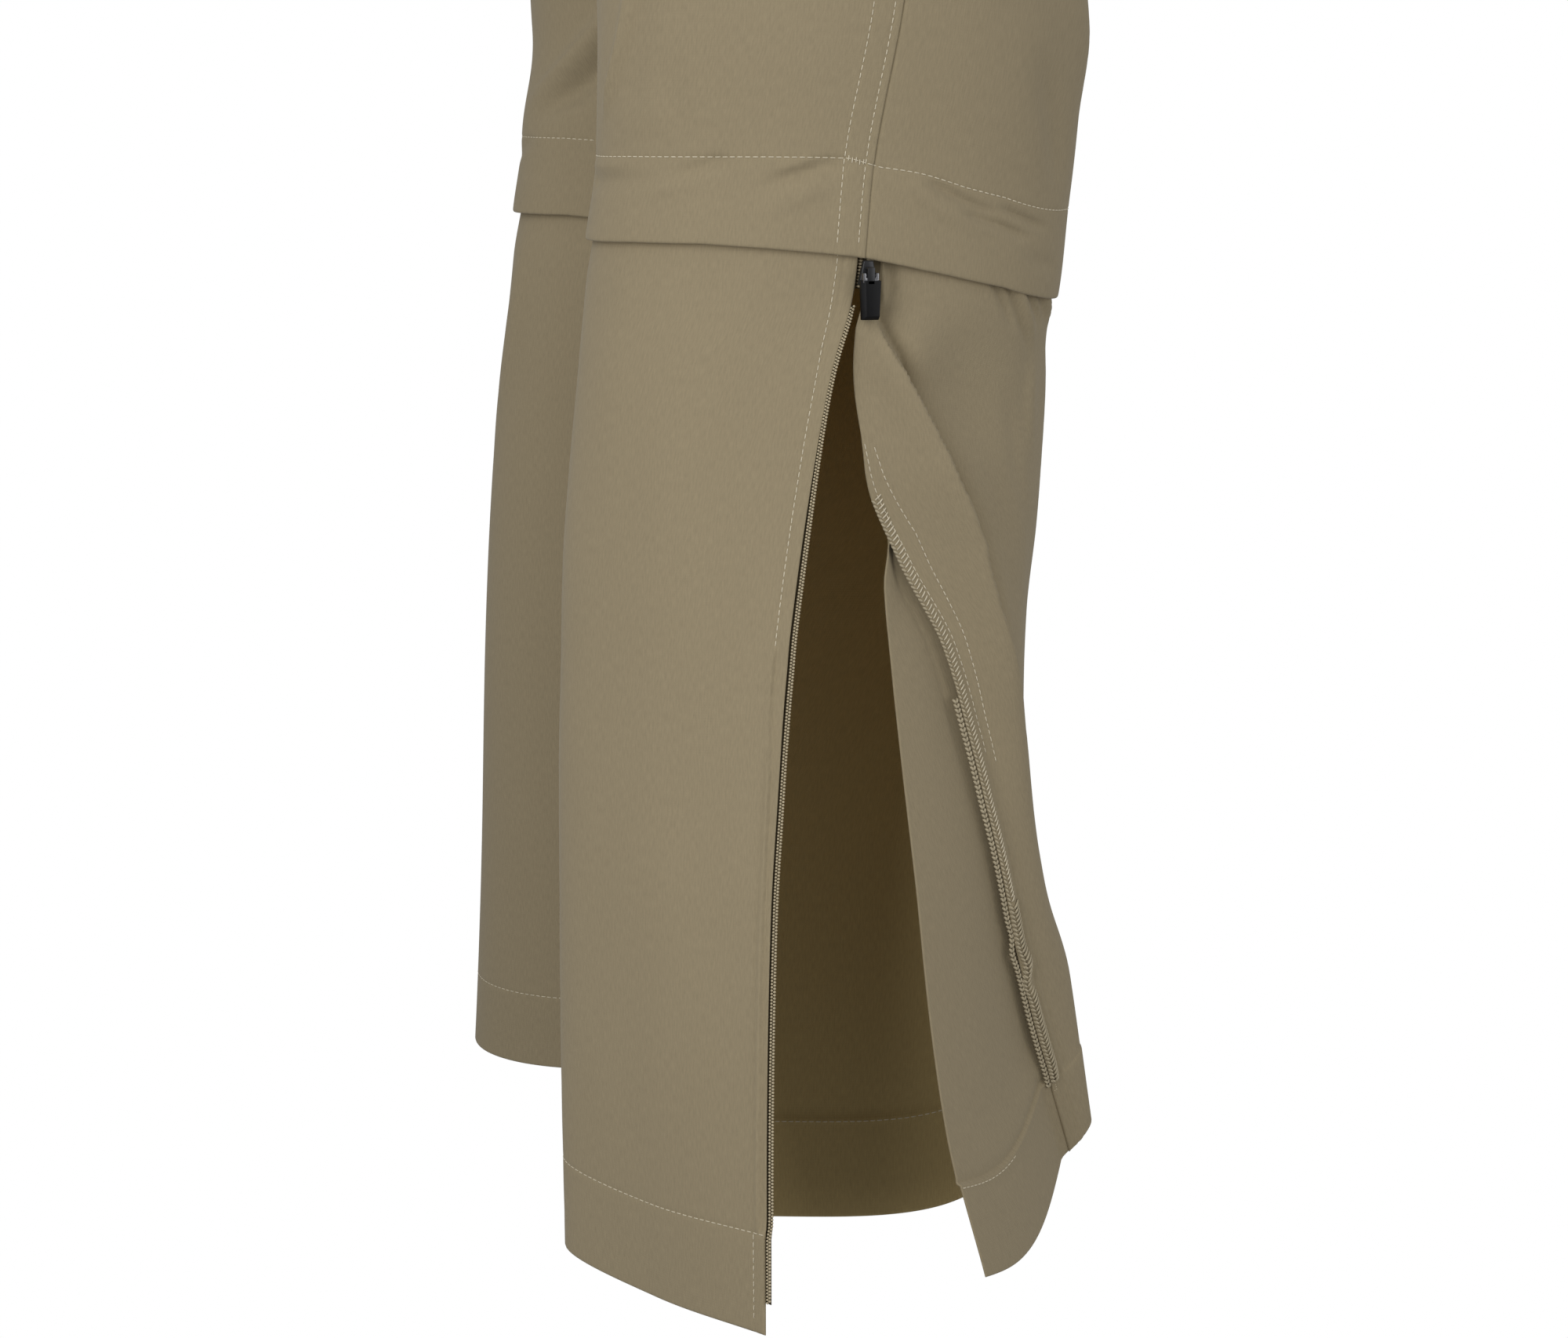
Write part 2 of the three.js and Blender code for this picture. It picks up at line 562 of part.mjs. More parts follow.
function sliderGeometry() {
  const bodyHeight = sliderBody.top - sliderBody.bottom;
  const bodyMiddle = (sliderBody.top + sliderBody.bottom) / 2;
  const outline = new THREE.Shape();
  const halfWidth = sliderBody.width / 2;
  outline.moveTo(-halfWidth + 1, bodyMiddle - bodyHeight / 2);
  outline.lineTo(halfWidth - 1, bodyMiddle - bodyHeight / 2);
  outline.lineTo(halfWidth, bodyMiddle + bodyHeight / 2 - 2);
  outline.lineTo(halfWidth - 2, bodyMiddle + bodyHeight / 2);
  outline.lineTo(-halfWidth + 2, bodyMiddle + bodyHeight / 2);
  outline.lineTo(-halfWidth, bodyMiddle + bodyHeight / 2 - 2);
  outline.closePath();
  const plate = new THREE.ExtrudeGeometry(outline, { depth: sliderBody.depth, bevelEnabled: false });
  plate.rotateX(Math.PI / 2).rotateZ(Math.PI / 2);
  const bailDepth = bail.reach - sliderBody.depth + 0.4;
  const bailMiddle = sliderBody.depth - 0.4 + bailDepth / 2;
  const loop = block(bailDepth, bail.width, 2 * bail.halfHeight, bailMiddle, 0, 0);
  const window = block(bailDepth - bail.bar + 0.4, bail.width + 1, 2 * (bail.halfHeight - bail.bar), bailMiddle - bail.bar / 2 + 0.2, 0, 0);
  return toGeometry(toSolid(plate).add(loop.subtract(window)));
}

function pullGeometry() {
  const outline = new THREE.Shape();
  const half = pull.width / 2 - 0.5;
  outline.moveTo(-half + 1.6, pull.bottom + 0.5);
  outline.lineTo(half - 0.6, pull.bottom + 0.5);
  outline.lineTo(half, pull.bottom + 3);
  outline.lineTo(half, pull.top - 0.5);
  outline.lineTo(-half, pull.top - 0.5);
  outline.lineTo(-half, pull.bottom + 2.6);
  outline.closePath();
  const tab = new THREE.ExtrudeGeometry(outline, {
    depth: pull.thick - 1, bevelEnabled: true, bevelThickness: 0.5, bevelSize: 0.5, bevelSegments: 1,
  });
  tab.rotateX(Math.PI / 2).rotateZ(Math.PI / 2).translate(pinX - pull.thick / 2 + 0.5, 0, 0);
  const slotHeight = pull.top + 2 - pull.slotBottom;
  const slot = block(pull.thick + 2, pull.slot, slotHeight, pinX, 0, pull.slotBottom + slotHeight / 2);
  const pin = toSolid(new THREE.CylinderGeometry(pull.pinRadius, pull.pinRadius, pull.width - 2, 12).translate(pinX, 0, 0));
  return toGeometry(toSolid(tab).subtract(slot).add(pin));
}

// Where each pull's pin sits, off the cloth at the outseam.
const hardware = [
  { label: "left", side: 1, z: -598.5, y: 4.2 },
  { label: "right", side: -1, z: -988, y: -36 },
];

for (const { label, side, z, y } of hardware) {
  const cloth = closedPoint(side, "front", 0, z);
  const offCloth = Math.abs(cloth.x) + 0.55;
  const turn = side === 1 ? 0 : Math.PI;
  const slider = sliderGeometry().rotateZ(turn).translate(side * offCloth, y, z);
  const tab = pullGeometry().rotateZ(turn).translate(side * offCloth, y, z);
  addNode(`slider_${label}`, slider, metalMaterial());
  addNode(`pull_${label}`, tab, plasticMaterial());
}

const buttonRadius = 8.5;
const button = new THREE.CylinderGeometry(buttonRadius, buttonRadius, 3, 28);
button.translate(0, -110.5 - 2.2, 0);
addNode("waist_button", button, plasticMaterial());

export default garment;
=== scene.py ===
# Hiking trousers with zip-off legs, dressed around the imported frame.
# Lengths are worked out in millimetres and turned into metres when a mesh is made.
import math

import bpy
import numpy as np
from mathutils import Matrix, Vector


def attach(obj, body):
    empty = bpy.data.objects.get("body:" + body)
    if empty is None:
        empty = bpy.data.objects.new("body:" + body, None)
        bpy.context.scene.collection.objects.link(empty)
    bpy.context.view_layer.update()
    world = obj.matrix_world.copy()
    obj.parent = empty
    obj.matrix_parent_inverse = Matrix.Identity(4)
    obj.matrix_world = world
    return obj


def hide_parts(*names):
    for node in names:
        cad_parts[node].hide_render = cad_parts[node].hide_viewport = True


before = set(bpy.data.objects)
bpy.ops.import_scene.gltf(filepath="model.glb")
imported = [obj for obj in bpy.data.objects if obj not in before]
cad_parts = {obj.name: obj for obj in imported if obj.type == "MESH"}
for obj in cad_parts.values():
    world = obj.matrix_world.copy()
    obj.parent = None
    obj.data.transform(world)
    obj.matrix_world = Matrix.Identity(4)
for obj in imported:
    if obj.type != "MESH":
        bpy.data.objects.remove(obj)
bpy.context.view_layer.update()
bpy.ops.object.select_all(action="DESELECT")
mm = 0.001

# Camera, as the photograph was taken
cameraView = {"place": (1.280, -0.320, -0.520), "turn": (78.4, 0.0, 75.5), "lens": 66.42}


def addCamera():
    data = bpy.data.cameras.new("camera")
    data.lens = cameraView["lens"]
    data.sensor_width = 36
    data.clip_start = 0.01
    camera = bpy.data.objects.new("camera", data)
    camera.location = cameraView["place"]
    camera.rotation_euler = [math.radians(angle) for angle in cameraView["turn"]]
    bpy.context.scene.collection.objects.link(camera)
    bpy.context.scene.camera = camera


addCamera()

# The form of the legs, the same sizes as the solids
halfGap = 0.15
waistTop = -20.3
flapTop = -553
flapBottom = -590
lowerTop = -566
lowerHeight = 441
rightLowerHeight = 444
hemBand = 38
sides = (("left", 1), ("right", -1))
legHeights = {"left": lowerHeight, "right": rightLowerHeight}
seamTurn = 0.001
zipTurn = 0.0052

sectionColumns = ["z", "outX", "outY", "frontX", "frontY", "backX", "backY", "inX", "inFrontY", "inBackY"]
sections = [
    (20, 139, 0, 55, -110, 55, 111, 0, -110, 111),
    (-20, 141, 0, 56, -111, 56, 112, 0, -111, 112),
    (-100, 160, 4, 66, -118, 66, 128, 0, -118, 127),
    (-170, 175, 10, 78, -122, 78, 143, 0, -117, 137),
    (-195, 178, 13, 84, -121, 84, 143, 0, -106, 126),
    (-225, 181, 16, 89, -117, 89, 138, 0, -78, 102),
    (-250, 183, 19, 92, -111, 92, 130, 0.1, -28, 60),
    (-264, 183, 20, 93, -108, 93, 125, 1, 10, 10),
    (-330, 180, 24, 95, -101, 95, 117, 9, 9, 9),
    (-420, 172, 24, 95, -95, 95, 116, 19, 8, 8),
    (-495, 165, 16, 95, -91, 95, 115, 25, 8, 8),
    (-553, 158.5, 6.5, 93, -92, 93, 110.5, 28, 6, 6),
    (-600, 158, 2, 93, -96.5, 93, 103, 28, 4, 4),
    (-700, 165, -8, 103, -107, 103, 81, 41, -10, -10),
    (-800, 176, -20, 115, -113, 115, 66, 54, -24, -24),
    (-900, 187, -32, 127, -117, 127, 52, 67, -34, -34),
    (-1010, 201, -42, 141, -122, 141, 38, 81, -42, -42),
]

# Rails of the opened left lower leg in plan, from the front zip edge round to the rear one
railNames = ["zip", "shoulder", "front", "innerFront", "inseam", "innerRear",
             "rear", "outer", "valley", "crest", "edge"]
openLeg = [
    (0, (157.4, 1.6), (139, -62), (93, -93), (46, -62), (28.5, 5),
     (46, 74), (93, 106), (131, 84), (148, 54), (154.5, 30), (157.4, 5.4)),
    (0.08, (159.4, -1.5), (140, -68), (93, -97), (46, -66), (28, 4),
     (46, 73), (93, 103), (131, 81), (149, 50), (156.5, 26), (158.4, 4)),
    (0.17, (165, -13), (143, -76), (97, -102), (48, -71), (29, 1),
     (46, 70), (95, 102), (131, 80), (149, 45), (162.5, 22), (158, 1)),
    (0.26, (171, -22), (146, -82), (101, -107), (52, -77), (32, -5),
     (46, 67), (98, 99.5), (131, 83), (148, 60), (163, 40.5), (161, 5.5)),
    (0.35, (178, -30), (149, -86), (105, -111), (55, -81), (35, -11),
     (47, 64), (101, 96), (130, 85), (146, 70), (160, 55.5), (160, 21)),
    (0.44, (186, -37), (152, -89), (108, -113), (60, -84), (40, -18),
     (50, 62), (104, 91), (128, 84.5), (143, 77), (157, 67), (158.5, 42)),
    (0.54, (196, -43), (158, -92), (113, -115.5), (67, -87), (49, -25),
     (57, 57), (106, 89.5), (126.5, 85), (140, 81), (152, 75.5), (155.5, 57)),
    (0.64, (208, -49), (166, -94), (118, -117), (76, -90), (60, -32),
     (67, 54), (108, 93), (125, 92), (137, 88.5), (147, 82.5), (152.5, 68)),
    (0.82, (228, -56), (180, -95), (128, -119.5), (95, -92), (86, -40),
     (93, 52), (117, 107), (126, 107.5), (133, 105), (139.5, 98), (146, 84)),
    (1, (247, -61), (193, -94), (139, -121), (118, -99), (115, -50),
     (121, 54), (122.5, 116), (126, 119), (129, 119), (132.5, 115), (136, 108)),
]
hemRise = {"zip": 0, "shoulder": -3, "front": 0, "innerFront": -2, "inseam": -4, "innerRear": -6,
           "rear": 28, "outer": 31, "valley": 29, "crest": 25, "edge": 19}
inseamRail = 4
lastRail = len(railNames) - 1
underlapEdge = [(0.28, 153, 20), (0.33, 158.4, 14.5), (0.36, 161.2, 12.0), (0.44, 166, 14),
                (0.53, 171, 17.3), (0.64, 180, 21), (0.76, 190, 24.3), (0.87, 201, 29), (1, 215, 41)]

# Soft ridges that the solids have on the fronts of the thighs: upper and lower end (x, z), width, height
thighFolds = {1: [(138, -480, 126, -545, 16, 2.4)],
              -1: [(128, -490, 152, -545, 18, 2.6), (116, -440, 136, -520, 20, 2.2)]}


def smoothStep(low, high, value):
    t = np.clip((value - low) / (high - low), 0, 1)
    return t * t * (3 - 2 * t)


def curveThrough(stops, values, at):  # a smooth curve through a table's column, with no overshoot
    stops = np.asarray(stops, float)
    values = np.asarray(values, float)
    at = np.asarray(at, float)
    if stops[-1] < stops[0]:
        stops, at = -stops, -at
    slopes = np.diff(values) / np.diff(stops)
    product = slopes[:-1] * slopes[1:]
    rising = product > 0
    inner = np.where(rising, 2 * product / np.where(rising, slopes[:-1] + slopes[1:], 1), 0)
    tangents = np.concatenate([[slopes[0]], inner, [slopes[-1]]])
    row = np.clip(np.searchsorted(stops, at, side="left") - 1, 0, len(stops) - 2)
    span = stops[row + 1] - stops[row]
    t = np.clip((at - stops[row]) / span, 0, 1)
    t2, t3 = t * t, t * t * t
    return (values[row] * (2 * t3 - 3 * t2 + 1) + tangents[row] * span * (t3 - 2 * t2 + t)
            + values[row + 1] * (3 * t2 - 2 * t3) + tangents[row + 1] * span * (t3 - t2))


def column(table, place):
    return [row[place] for row in table]


def byHeight(table, z):  # a table of (height, value), read in straight stretches
    return np.interp(-np.asarray(z, float), [-height for height in column(table, 0)], column(table, 1))


def readSection(name, z):
    return curveThrough(column(sections, 0), column(sections, sectionColumns.index(name)), z)


def kneeDip(z, y):
    near = smoothStep(-470, -545, z) * (1 - smoothStep(-620, -720, z))
    return -23 * smoothStep(0, 100, y) * near


def thighFoldAt(side, x, z):
    height = np.zeros_like(x)
    for upperX, upperZ, lowerX, lowerZ, width, rise in thighFolds[side]:
        along = (z - upperZ) / (lowerZ - upperZ)
        across = (x - upperX - (lowerX - upperX) * along) / width
        fade = smoothStep(-0.5, 0.2, along) * (1 - smoothStep(0.8, 1.1, along))
        height += rise * fade * np.exp(-across * across)
    return height


def hangsBack(side, z):
    if side == 1:
        return 0 * z
    return 6 * smoothStep(-380, -470, z) * (1 - smoothStep(-500, -555, z)) + 5 * smoothStep(-680, -1010, z)


def closedPoint(side, face, turn, z):  # turn runs 0 at the outseam to 1 at the inner edge
    turn, z = np.broadcast_arrays(np.asarray(turn, float), np.asarray(z, float))
    front = face == "front"
    outX, outY = readSection("outX", z), readSection("outY", z)
    peakX = readSection("frontX" if front else "backX", z)
    peakY = readSection("frontY" if front else "backY", z)
    seamShift = halfGap * smoothStep(-225, -245, z)
    innerY = readSection("inFrontY" if front else "inBackY", z) + (-seamShift if front else seamShift)
    innerX = np.maximum(halfGap, readSection("inX", z))
    outer = turn <= 0.5
    innerAngle = (turn - 0.5) * np.pi
    flatShare = 2 * turn - 1
    roundness = smoothStep(2, 40, np.abs(peakY - innerY))
    innerShare = flatShare + (np.sin(innerAngle) - flatShare) * roundness
    x = np.where(outer, peakX + (outX - peakX) * np.cos(turn * np.pi), peakX + (innerX - peakX) * innerShare)
    y = np.where(outer, outY + (peakY - outY) * np.sin(turn * np.pi),
                 innerY + (peakY - innerY) * np.cos(innerAngle))
    y = y - (thighFoldAt(side, x, z) if front else 0) + hangsBack(side, z)
    return np.stack([x * side, y, z + kneeDip(z, y)], axis=-1)


def openPoint(station, down):  # the opened left lower leg, counting along its rails
    station, down = np.broadcast_arrays(np.asarray(station, float), np.asarray(down, float))
    rails = []
    for place, name in enumerate(railNames, 1):
        x, y = [curveThrough(column(openLeg, 0), column(column(openLeg, place), k), down) for k in (0, 1)]
        z = lowerTop - down * (lowerHeight - hemRise[name])
        rails.append(np.stack([x, y, z + kneeDip(z, y) * (1 - smoothStep(0.1, 0.5, down))], axis=-1))
    rails = np.stack([2 * rails[0] - rails[1], *rails, 2 * rails[-1] - rails[-2]])
    piece = np.clip(np.floor(station).astype(int), 0, lastRail - 1)
    t = np.clip(station - piece, 0, 1)[..., None]
    before, start, end, after = [
        np.take_along_axis(rails, (piece + k)[None, ..., None], axis=0)[0] for k in range(4)]
    firstGap, middleGap, lastGap = [
        np.maximum(np.sqrt(np.linalg.norm(b - a, axis=-1))[..., None], 1e-3)
        for a, b in ((before, start), (start, end), (end, after))]
    leave = ((start - before) / firstGap - (end - before) / (firstGap + middleGap)
             + (end - start) / middleGap) * middleGap
    arrive = ((end - start) / middleGap - (after - start) / (middleGap + lastGap)
              + (after - end) / lastGap) * middleGap
    return (start + leave * t + (-3 * start + 3 * end - 2 * leave - arrive) * t ** 2
            + (2 * start - 2 * end + leave + arrive) * t ** 3)


closedTurns = [0, 0.25, 0.5, 0.75, 1, 0.75, 0.5, 0.3, 0.17, 0.08, 0]


def leftLower(station, down):
    station, down = np.broadcast_arrays(np.asarray(station, float), np.asarray(down, float))
    turn = zipTurn + (1 - zipTurn) * np.interp(station, np.arange(lastRail + 1), closedTurns)
    height = lowerTop - lowerHeight * down
    closed = np.where((station < inseamRail)[..., None],
                      closedPoint(1, "front", turn, height), closedPoint(1, "back", turn, height))
    opened = smoothStep(0.04, 0.14, down)[..., None]
    return closed + (openPoint(station, down) - closed) * opened


# Cloth: a grid on the form, moved by its creases, then given a wall with rounded edges
stitchSpread = (-1.1, -0.45, 0, 0.45, 1.1)
edgeStops = (0, 0.2, 0.5, 0.9, 1.5)
edgeRound = {"reach": 0.75, "share": 0.97}


def withLines(stops, lines):  # fine stops about each stitch line
    kept = [stop for stop in stops if all(abs(stop - line) > 1.5 for line in lines)]
    return np.array(sorted(kept + [line + shift for line in lines for shift in stitchSpread]))


def heightsBetween(top, bottom, step, lines=()):
    count = max(2, round((top - bottom) / step))
    regular = [top + (bottom - top) * k / count for k in range(1, count)]
    regular = [z for z in regular if top - z > 2.5 and z - bottom > 2.5]
    edges = [top - stop for stop in edgeStops] + [bottom + stop for stop in edgeStops]
    return withLines(regular + edges, lines)[::-1]


def unit(vectors):
    return vectors / np.maximum(1e-9, np.linalg.norm(vectors, axis=-1, keepdims=True))


def travelled(points):  # the distance along a row of points
    return np.concatenate([[0], np.cumsum(np.linalg.norm(np.diff(points, axis=0), axis=-1))])


def spreadColumns(dense, z, middle, near=edgeStops):
    # Columns at real distances from both edges of each row: their points, distances and heights
    travel = np.array([travelled(row) for row in dense])
    near = np.asarray(near, float)[None].repeat(len(dense), 0)
    far = travel[:, -1:] - np.asarray(edgeStops, float)[::-1][None]
    inner = near[:, -1:] + (far[:, :1] - near[:, -1:]) * np.arange(1, middle)[None] / middle
    aside = np.concatenate([near, inner, far], axis=1)
    points = np.empty((*aside.shape, 3))
    for row in range(len(dense)):
        for axis in range(3):
            points[row, :, axis] = np.interp(aside[row], travel[row], dense[row, :, axis])
    return points, aside, np.repeat(z[:, None], aside.shape[1], 1)


def gridNormals(points, flip):
    normals = unit(np.cross(np.gradient(points, axis=1), np.gradient(points, axis=0)))
    return -normals if flip else normals


def creaseHeight(creases, aside, z):
    height = np.zeros_like(aside)
    for fromAside, fromZ, toAside, toZ, width, otherWidth, depth, bow, fadeIn, fadeOut in creases:
        run = np.array((toAside - fromAside, toZ - fromZ), float)
        length = np.linalg.norm(run)
        run /= length
        offset, drop = aside - fromAside, z - fromZ
        along = (offset * run[0] + drop * run[1]) / length
        across = drop * run[0] - offset * run[1] - bow * np.sin(np.pi * np.clip(along, 0, 1))
        fade = smoothStep(-0.02, fadeIn, along) * (1 - smoothStep(1 - fadeOut, 1.02, along))
        height += depth * fade * np.exp(-(across / np.where(across > 0, otherWidth, width)) ** 2)
    return height


def lineGroove(distance, depth=0.22, width=0.75):  # the thread pulls the cloth in along a row of stitches
    return -depth * np.exp(-(distance / width) ** 2)


def addMesh(name, points, faces, uv=None):
    mesh = bpy.data.meshes.new(name)
    mesh.from_pydata((np.asarray(points) * mm).tolist(), [], faces)
    if uv is not None:
        layer = mesh.uv_layers.new(name="cut")
        corners = np.empty(len(mesh.loops), int)
        mesh.loops.foreach_get("vertex_index", corners)
        layer.data.foreach_set("uv", np.asarray(uv)[corners].ravel())
    mesh.polygons.foreach_set("use_smooth", [True] * len(mesh.polygons))
    mesh.update()
    piece = bpy.data.objects.new(name, mesh)
    bpy.context.scene.collection.objects.link(piece)
    return piece


def gridFaces(rows, columns, offset, turned):
    faces = []
    for row in range(rows - 1):
        for column in range(columns - 1):
            a = offset + row * columns + column
            quad = (a, a + 1, a + columns + 1, a + columns)
            faces.append(quad[::-1] if turned else quad)
    return faces


def clothPiece(name, nodes, points, aside, z, flip, wall, moved, turned=0, look="cloth", reverse=False):
    # points is a grid of the outer surface, moved its creases, turned the extra thickness inside
    outer = points + gridNormals(points, flip) * moved[..., None]
    normals = gridNormals(outer, flip)
    rows, columns = aside.shape
    thick = np.full(aside.shape, float(wall)) + turned
    fromSide = np.minimum(aside, aside[:, -1:] - aside)
    fromEdge = np.minimum(fromSide, np.minimum(z[0, 0] - z, z - z[-1, 0]))
    bend = np.clip(1 - fromEdge / (thick * edgeRound["reach"]), 0, 1)
    drawnIn = (1 - np.sqrt(1 - bend * bend * edgeRound["share"])) * thick / 2
    walls = [outer - normals * depth[..., None] for depth in (drawnIn, thick - drawnIn)]
    count = rows * columns
    faces = gridFaces(rows, columns, 0, flip) + gridFaces(rows, columns, count, not flip)
    rim = ([(0, c) for c in range(columns)] + [(r, columns - 1) for r in range(1, rows)]
           + [(rows - 1, c) for c in range(columns - 2, -1, -1)] + [(r, 0) for r in range(rows - 2, 0, -1)])
    loop = [r * columns + c for r, c in rim]
    for a, b in zip(loop, loop[1:] + loop[:1]):
        quad = (a, a + count, b + count, b)
        faces.append(quad[::-1] if flip else quad)
    flat = np.stack([aside, z], axis=-1).reshape(-1, 2) * mm
    piece = addMesh(name, np.reshape(walls, (-1, 3)), faces, np.concatenate([flat, flat + (0.5, 0)]))
    width = float(aside[:, -1].max()) * mm
    fall = float(np.linalg.norm(np.diff(outer, axis=0), axis=-1).sum(axis=0).max()) * mm
    area = sum(face.area for face in piece.data.polygons) / 2
    print(f"{name}: widest {width:.3f}, longest {fall:.3f}, area {area:.4f}")
    dress(piece, look, nodes=nodes)
    if reverse:  # the inside of a panel has the cloth's reverse, a brighter, warmer copy of the cloth that paints light into the shaded inside
        piece.data.materials.append(materials["reverse"])
        quads = (rows - 1) * (columns - 1)
        for face in piece.data.polygons[quads:2 * quads]:
            face.material_index = 1
    cloths[name] = {"piece": piece, "points": outer, "normals": normals, "aside": aside, "z": z}
    return cloths[name]


def readRow(cloth, key, row, at):  # a row's point or normal, at a distance from the first edge
    return np.array([np.interp(at, cloth["aside"][row], cloth[key][row, :, k]) for k in range(3)])


def rowAbove(cloth, z):  # the row above a height, and how far down to the next one the height is
    heights = cloth["z"][:, 0]
    row = int(np.clip(np.searchsorted(-heights, -z), 1, len(heights) - 1)) - 1
    return row, (heights[row] - z) / (heights[row] - heights[row + 1])


def lineDown(cloth, aside, fromZ, toZ, out=0.0):  # a line at one distance from the cloth's first edge
    points, normals = [], []
    for row, height in enumerate(cloth["z"][:, 0]):
        if toZ <= height <= fromZ:
            at = aside(height) if callable(aside) else aside
            normals.append(unit(readRow(cloth, "normals", row, at)))
            points.append(readRow(cloth, "points", row, at) + normals[-1] * out)
    return np.array(points), np.array(normals)


def lineAcross(cloth, height, fromShare=0.0, toShare=1.0, out=0.0):  # a line round the cloth at one height
    row, share = rowAbove(cloth, height)
    last = cloth["aside"].shape[1] - 1
    span = slice(int(fromShare * last), int(toShare * last) + 1)
    points, normals = [cloth[key][row, span] * (1 - share) + cloth[key][row + 1, span] * share
                       for key in ("points", "normals")]
    normals = unit(normals)
    return points + normals * out, normals


def lineThrough(cloth, path, out=0.0, step=1.5):  # a line on the cloth through places (aside, z)
    path = np.array(path, float)
    lengths = travelled(path)
    stops = np.linspace(0, lengths[-1], max(2, int(lengths[-1] / step)))
    points, normals = [], []
    for at, z in zip(np.interp(stops, lengths, path[:, 0]), np.interp(stops, lengths, path[:, 1])):
        row, share = rowAbove(cloth, z)
        point, normal = [readRow(cloth, key, row, at) * (1 - share) + readRow(cloth, key, row + 1, at) * share
                         for key in ("points", "normals")]
        normals.append(unit(normal))
        points.append(point + normals[-1] * out)
    return np.array(points), np.array(normals)


def evenly(line, pitch):  # points, headings and normals at even steps along a line
    points, normals = line
    travel = travelled(points)
    stops = np.arange(pitch / 2, travel[-1] - pitch / 3, pitch)
    at = lambda values, where: np.stack([np.interp(where, travel, values[:, k]) for k in range(3)], axis=-1)
    heading = unit(at(points, stops + 0.4) - at(points, stops - 0.4))
    normal = at(normals, stops)
    return at(points, stops), heading, unit(normal - heading * (normal * heading).sum(-1, keepdims=True))


def beadRow(parts, place, heading, normal, profile, sides=6):
    # Small closed beads. profile rows: (along, lift, width, height) from end to end.
    sideways = np.cross(normal, heading)
    angles = np.arange(sides) / sides * 2 * np.pi
    base = len(parts["points"])
    rings = len(profile)
    for k in range(len(place)):
        for along, lift, width, height in profile:
            centre = place[k] + heading[k] * along + normal[k] * lift
            for angle in angles:
                spoke = sideways[k] * math.cos(angle) * width + normal[k] * math.sin(angle) * height
                parts["points"].append(centre + spoke)
        start = base + k * rings * sides
        for ring in range(rings - 1):
            for s in range(sides):
                a, b = start + ring * sides + s, start + ring * sides + (s + 1) % sides
                parts["faces"].append((a, b, b + sides, a + sides))
        parts["faces"].append(tuple(start + s for s in range(sides))[::-1])
        parts["faces"].append(tuple(start + (rings - 1) * sides + s for s in range(sides)))


def newParts():
    return {"points": [], "faces": []}


# Materials
clothLook = {"colour": (0.300, 0.246, 0.155), "rough": 0.88, "sheen": 0.12, "threadsPerMetre": 1900}
# The cloth's reverse: partly its own side of the cloth, partly painted light, coloured brighter and warmer
# than the face so the shaded inside of the leg reads lighter; more painted light up the leg
reversePaintedLightLook = {**clothLook, "colour": (0.458, 0.350, 0.164), "sheen": 0.04, "paintedLightUpLeg": (-1.0, -0.66, 0.8, 1.5)}
threadLook = {"colour": (0.62, 0.555, 0.42), "rough": 0.7}
overlockLook = {"colour": (0.43, 0.37, 0.255), "rough": 0.75}
# Zip tape: a real tape, coloured near black so the strip between the cloth's edge and the coil shows as
# painted shade
tapeShadeLook = {"colour": (0.085, 0.066, 0.036), "rough": 0.85}
coilLook = {"colour": (0.50, 0.425, 0.285), "rough": 0.5}
sliderLook = {"colour": (0.04, 0.04, 0.042), "rough": 0.35}
linkLook = {"colour": (0.20, 0.20, 0.21), "rough": 0.3}
pullLook = {"colour": (0.0075, 0.0075, 0.008), "rough": 0.38, "specular": 0.13}
buttonLook = {"colour": (0.05, 0.042, 0.03), "rough": 0.4}


def newMaterial(name, look, metallic=0.0):
    material = bpy.data.materials.new(name)
    material.use_nodes = True
    shader = material.node_tree.nodes["Principled BSDF"]
    shader.inputs["Base Color"].default_value = (*look["colour"], 1)
    shader.inputs["Roughness"].default_value = look["rough"]
    shader.inputs["Metallic"].default_value = metallic
    shader.inputs["Specular IOR Level"].default_value = look.get("specular", 0.3)
    return material, material.node_tree.nodes, material.node_tree.links, shader


def addNode(nodes, kind, **values):
    node = nodes.new(kind)
    for key, value in values.items():
        if key in node.inputs:
            node.inputs[key].default_value = value
        else:
            setattr(node, key, value)
    return node


def mapRange(nodes, links, value, limits):  # limits: from least, from most, to least, to most
    node = addNode(nodes, "ShaderNodeMapRange",
                   **dict(zip(("From Min", "From Max", "To Min", "To Max"), limits)))
    links.new(value, node.inputs["Value"])
    return node.outputs["Result"]


def scaledColour(nodes, links, colour, factor):
    scaled = addNode(nodes, "ShaderNodeVectorMath", operation="SCALE")
    if isinstance(colour, tuple):
        scaled.inputs[0].default_value = colour
    else:
        links.new(colour, scaled.inputs[0])
    links.new(factor, scaled.inputs["Scale"])
    return scaled.outputs["Vector"]


def mottledColour(nodes, links, vector, colour, scale, stretch, amount):
    # The colour varies a little, in faint streaks along the warp
    mapping = addNode(nodes, "ShaderNodeMapping", Scale=stretch)
    links.new(vector, mapping.inputs["Vector"])
    noise = addNode(nodes, "ShaderNodeTexNoise", Scale=scale, Detail=3.0, Roughness=0.6)
    links.new(mapping.outputs["Vector"], noise.inputs["Vector"])
    factor = mapRange(nodes, links, noise.outputs["Fac"], (0.25, 0.75, 1 - amount, 1 + amount))
    return scaledColour(nodes, links, colour, factor)


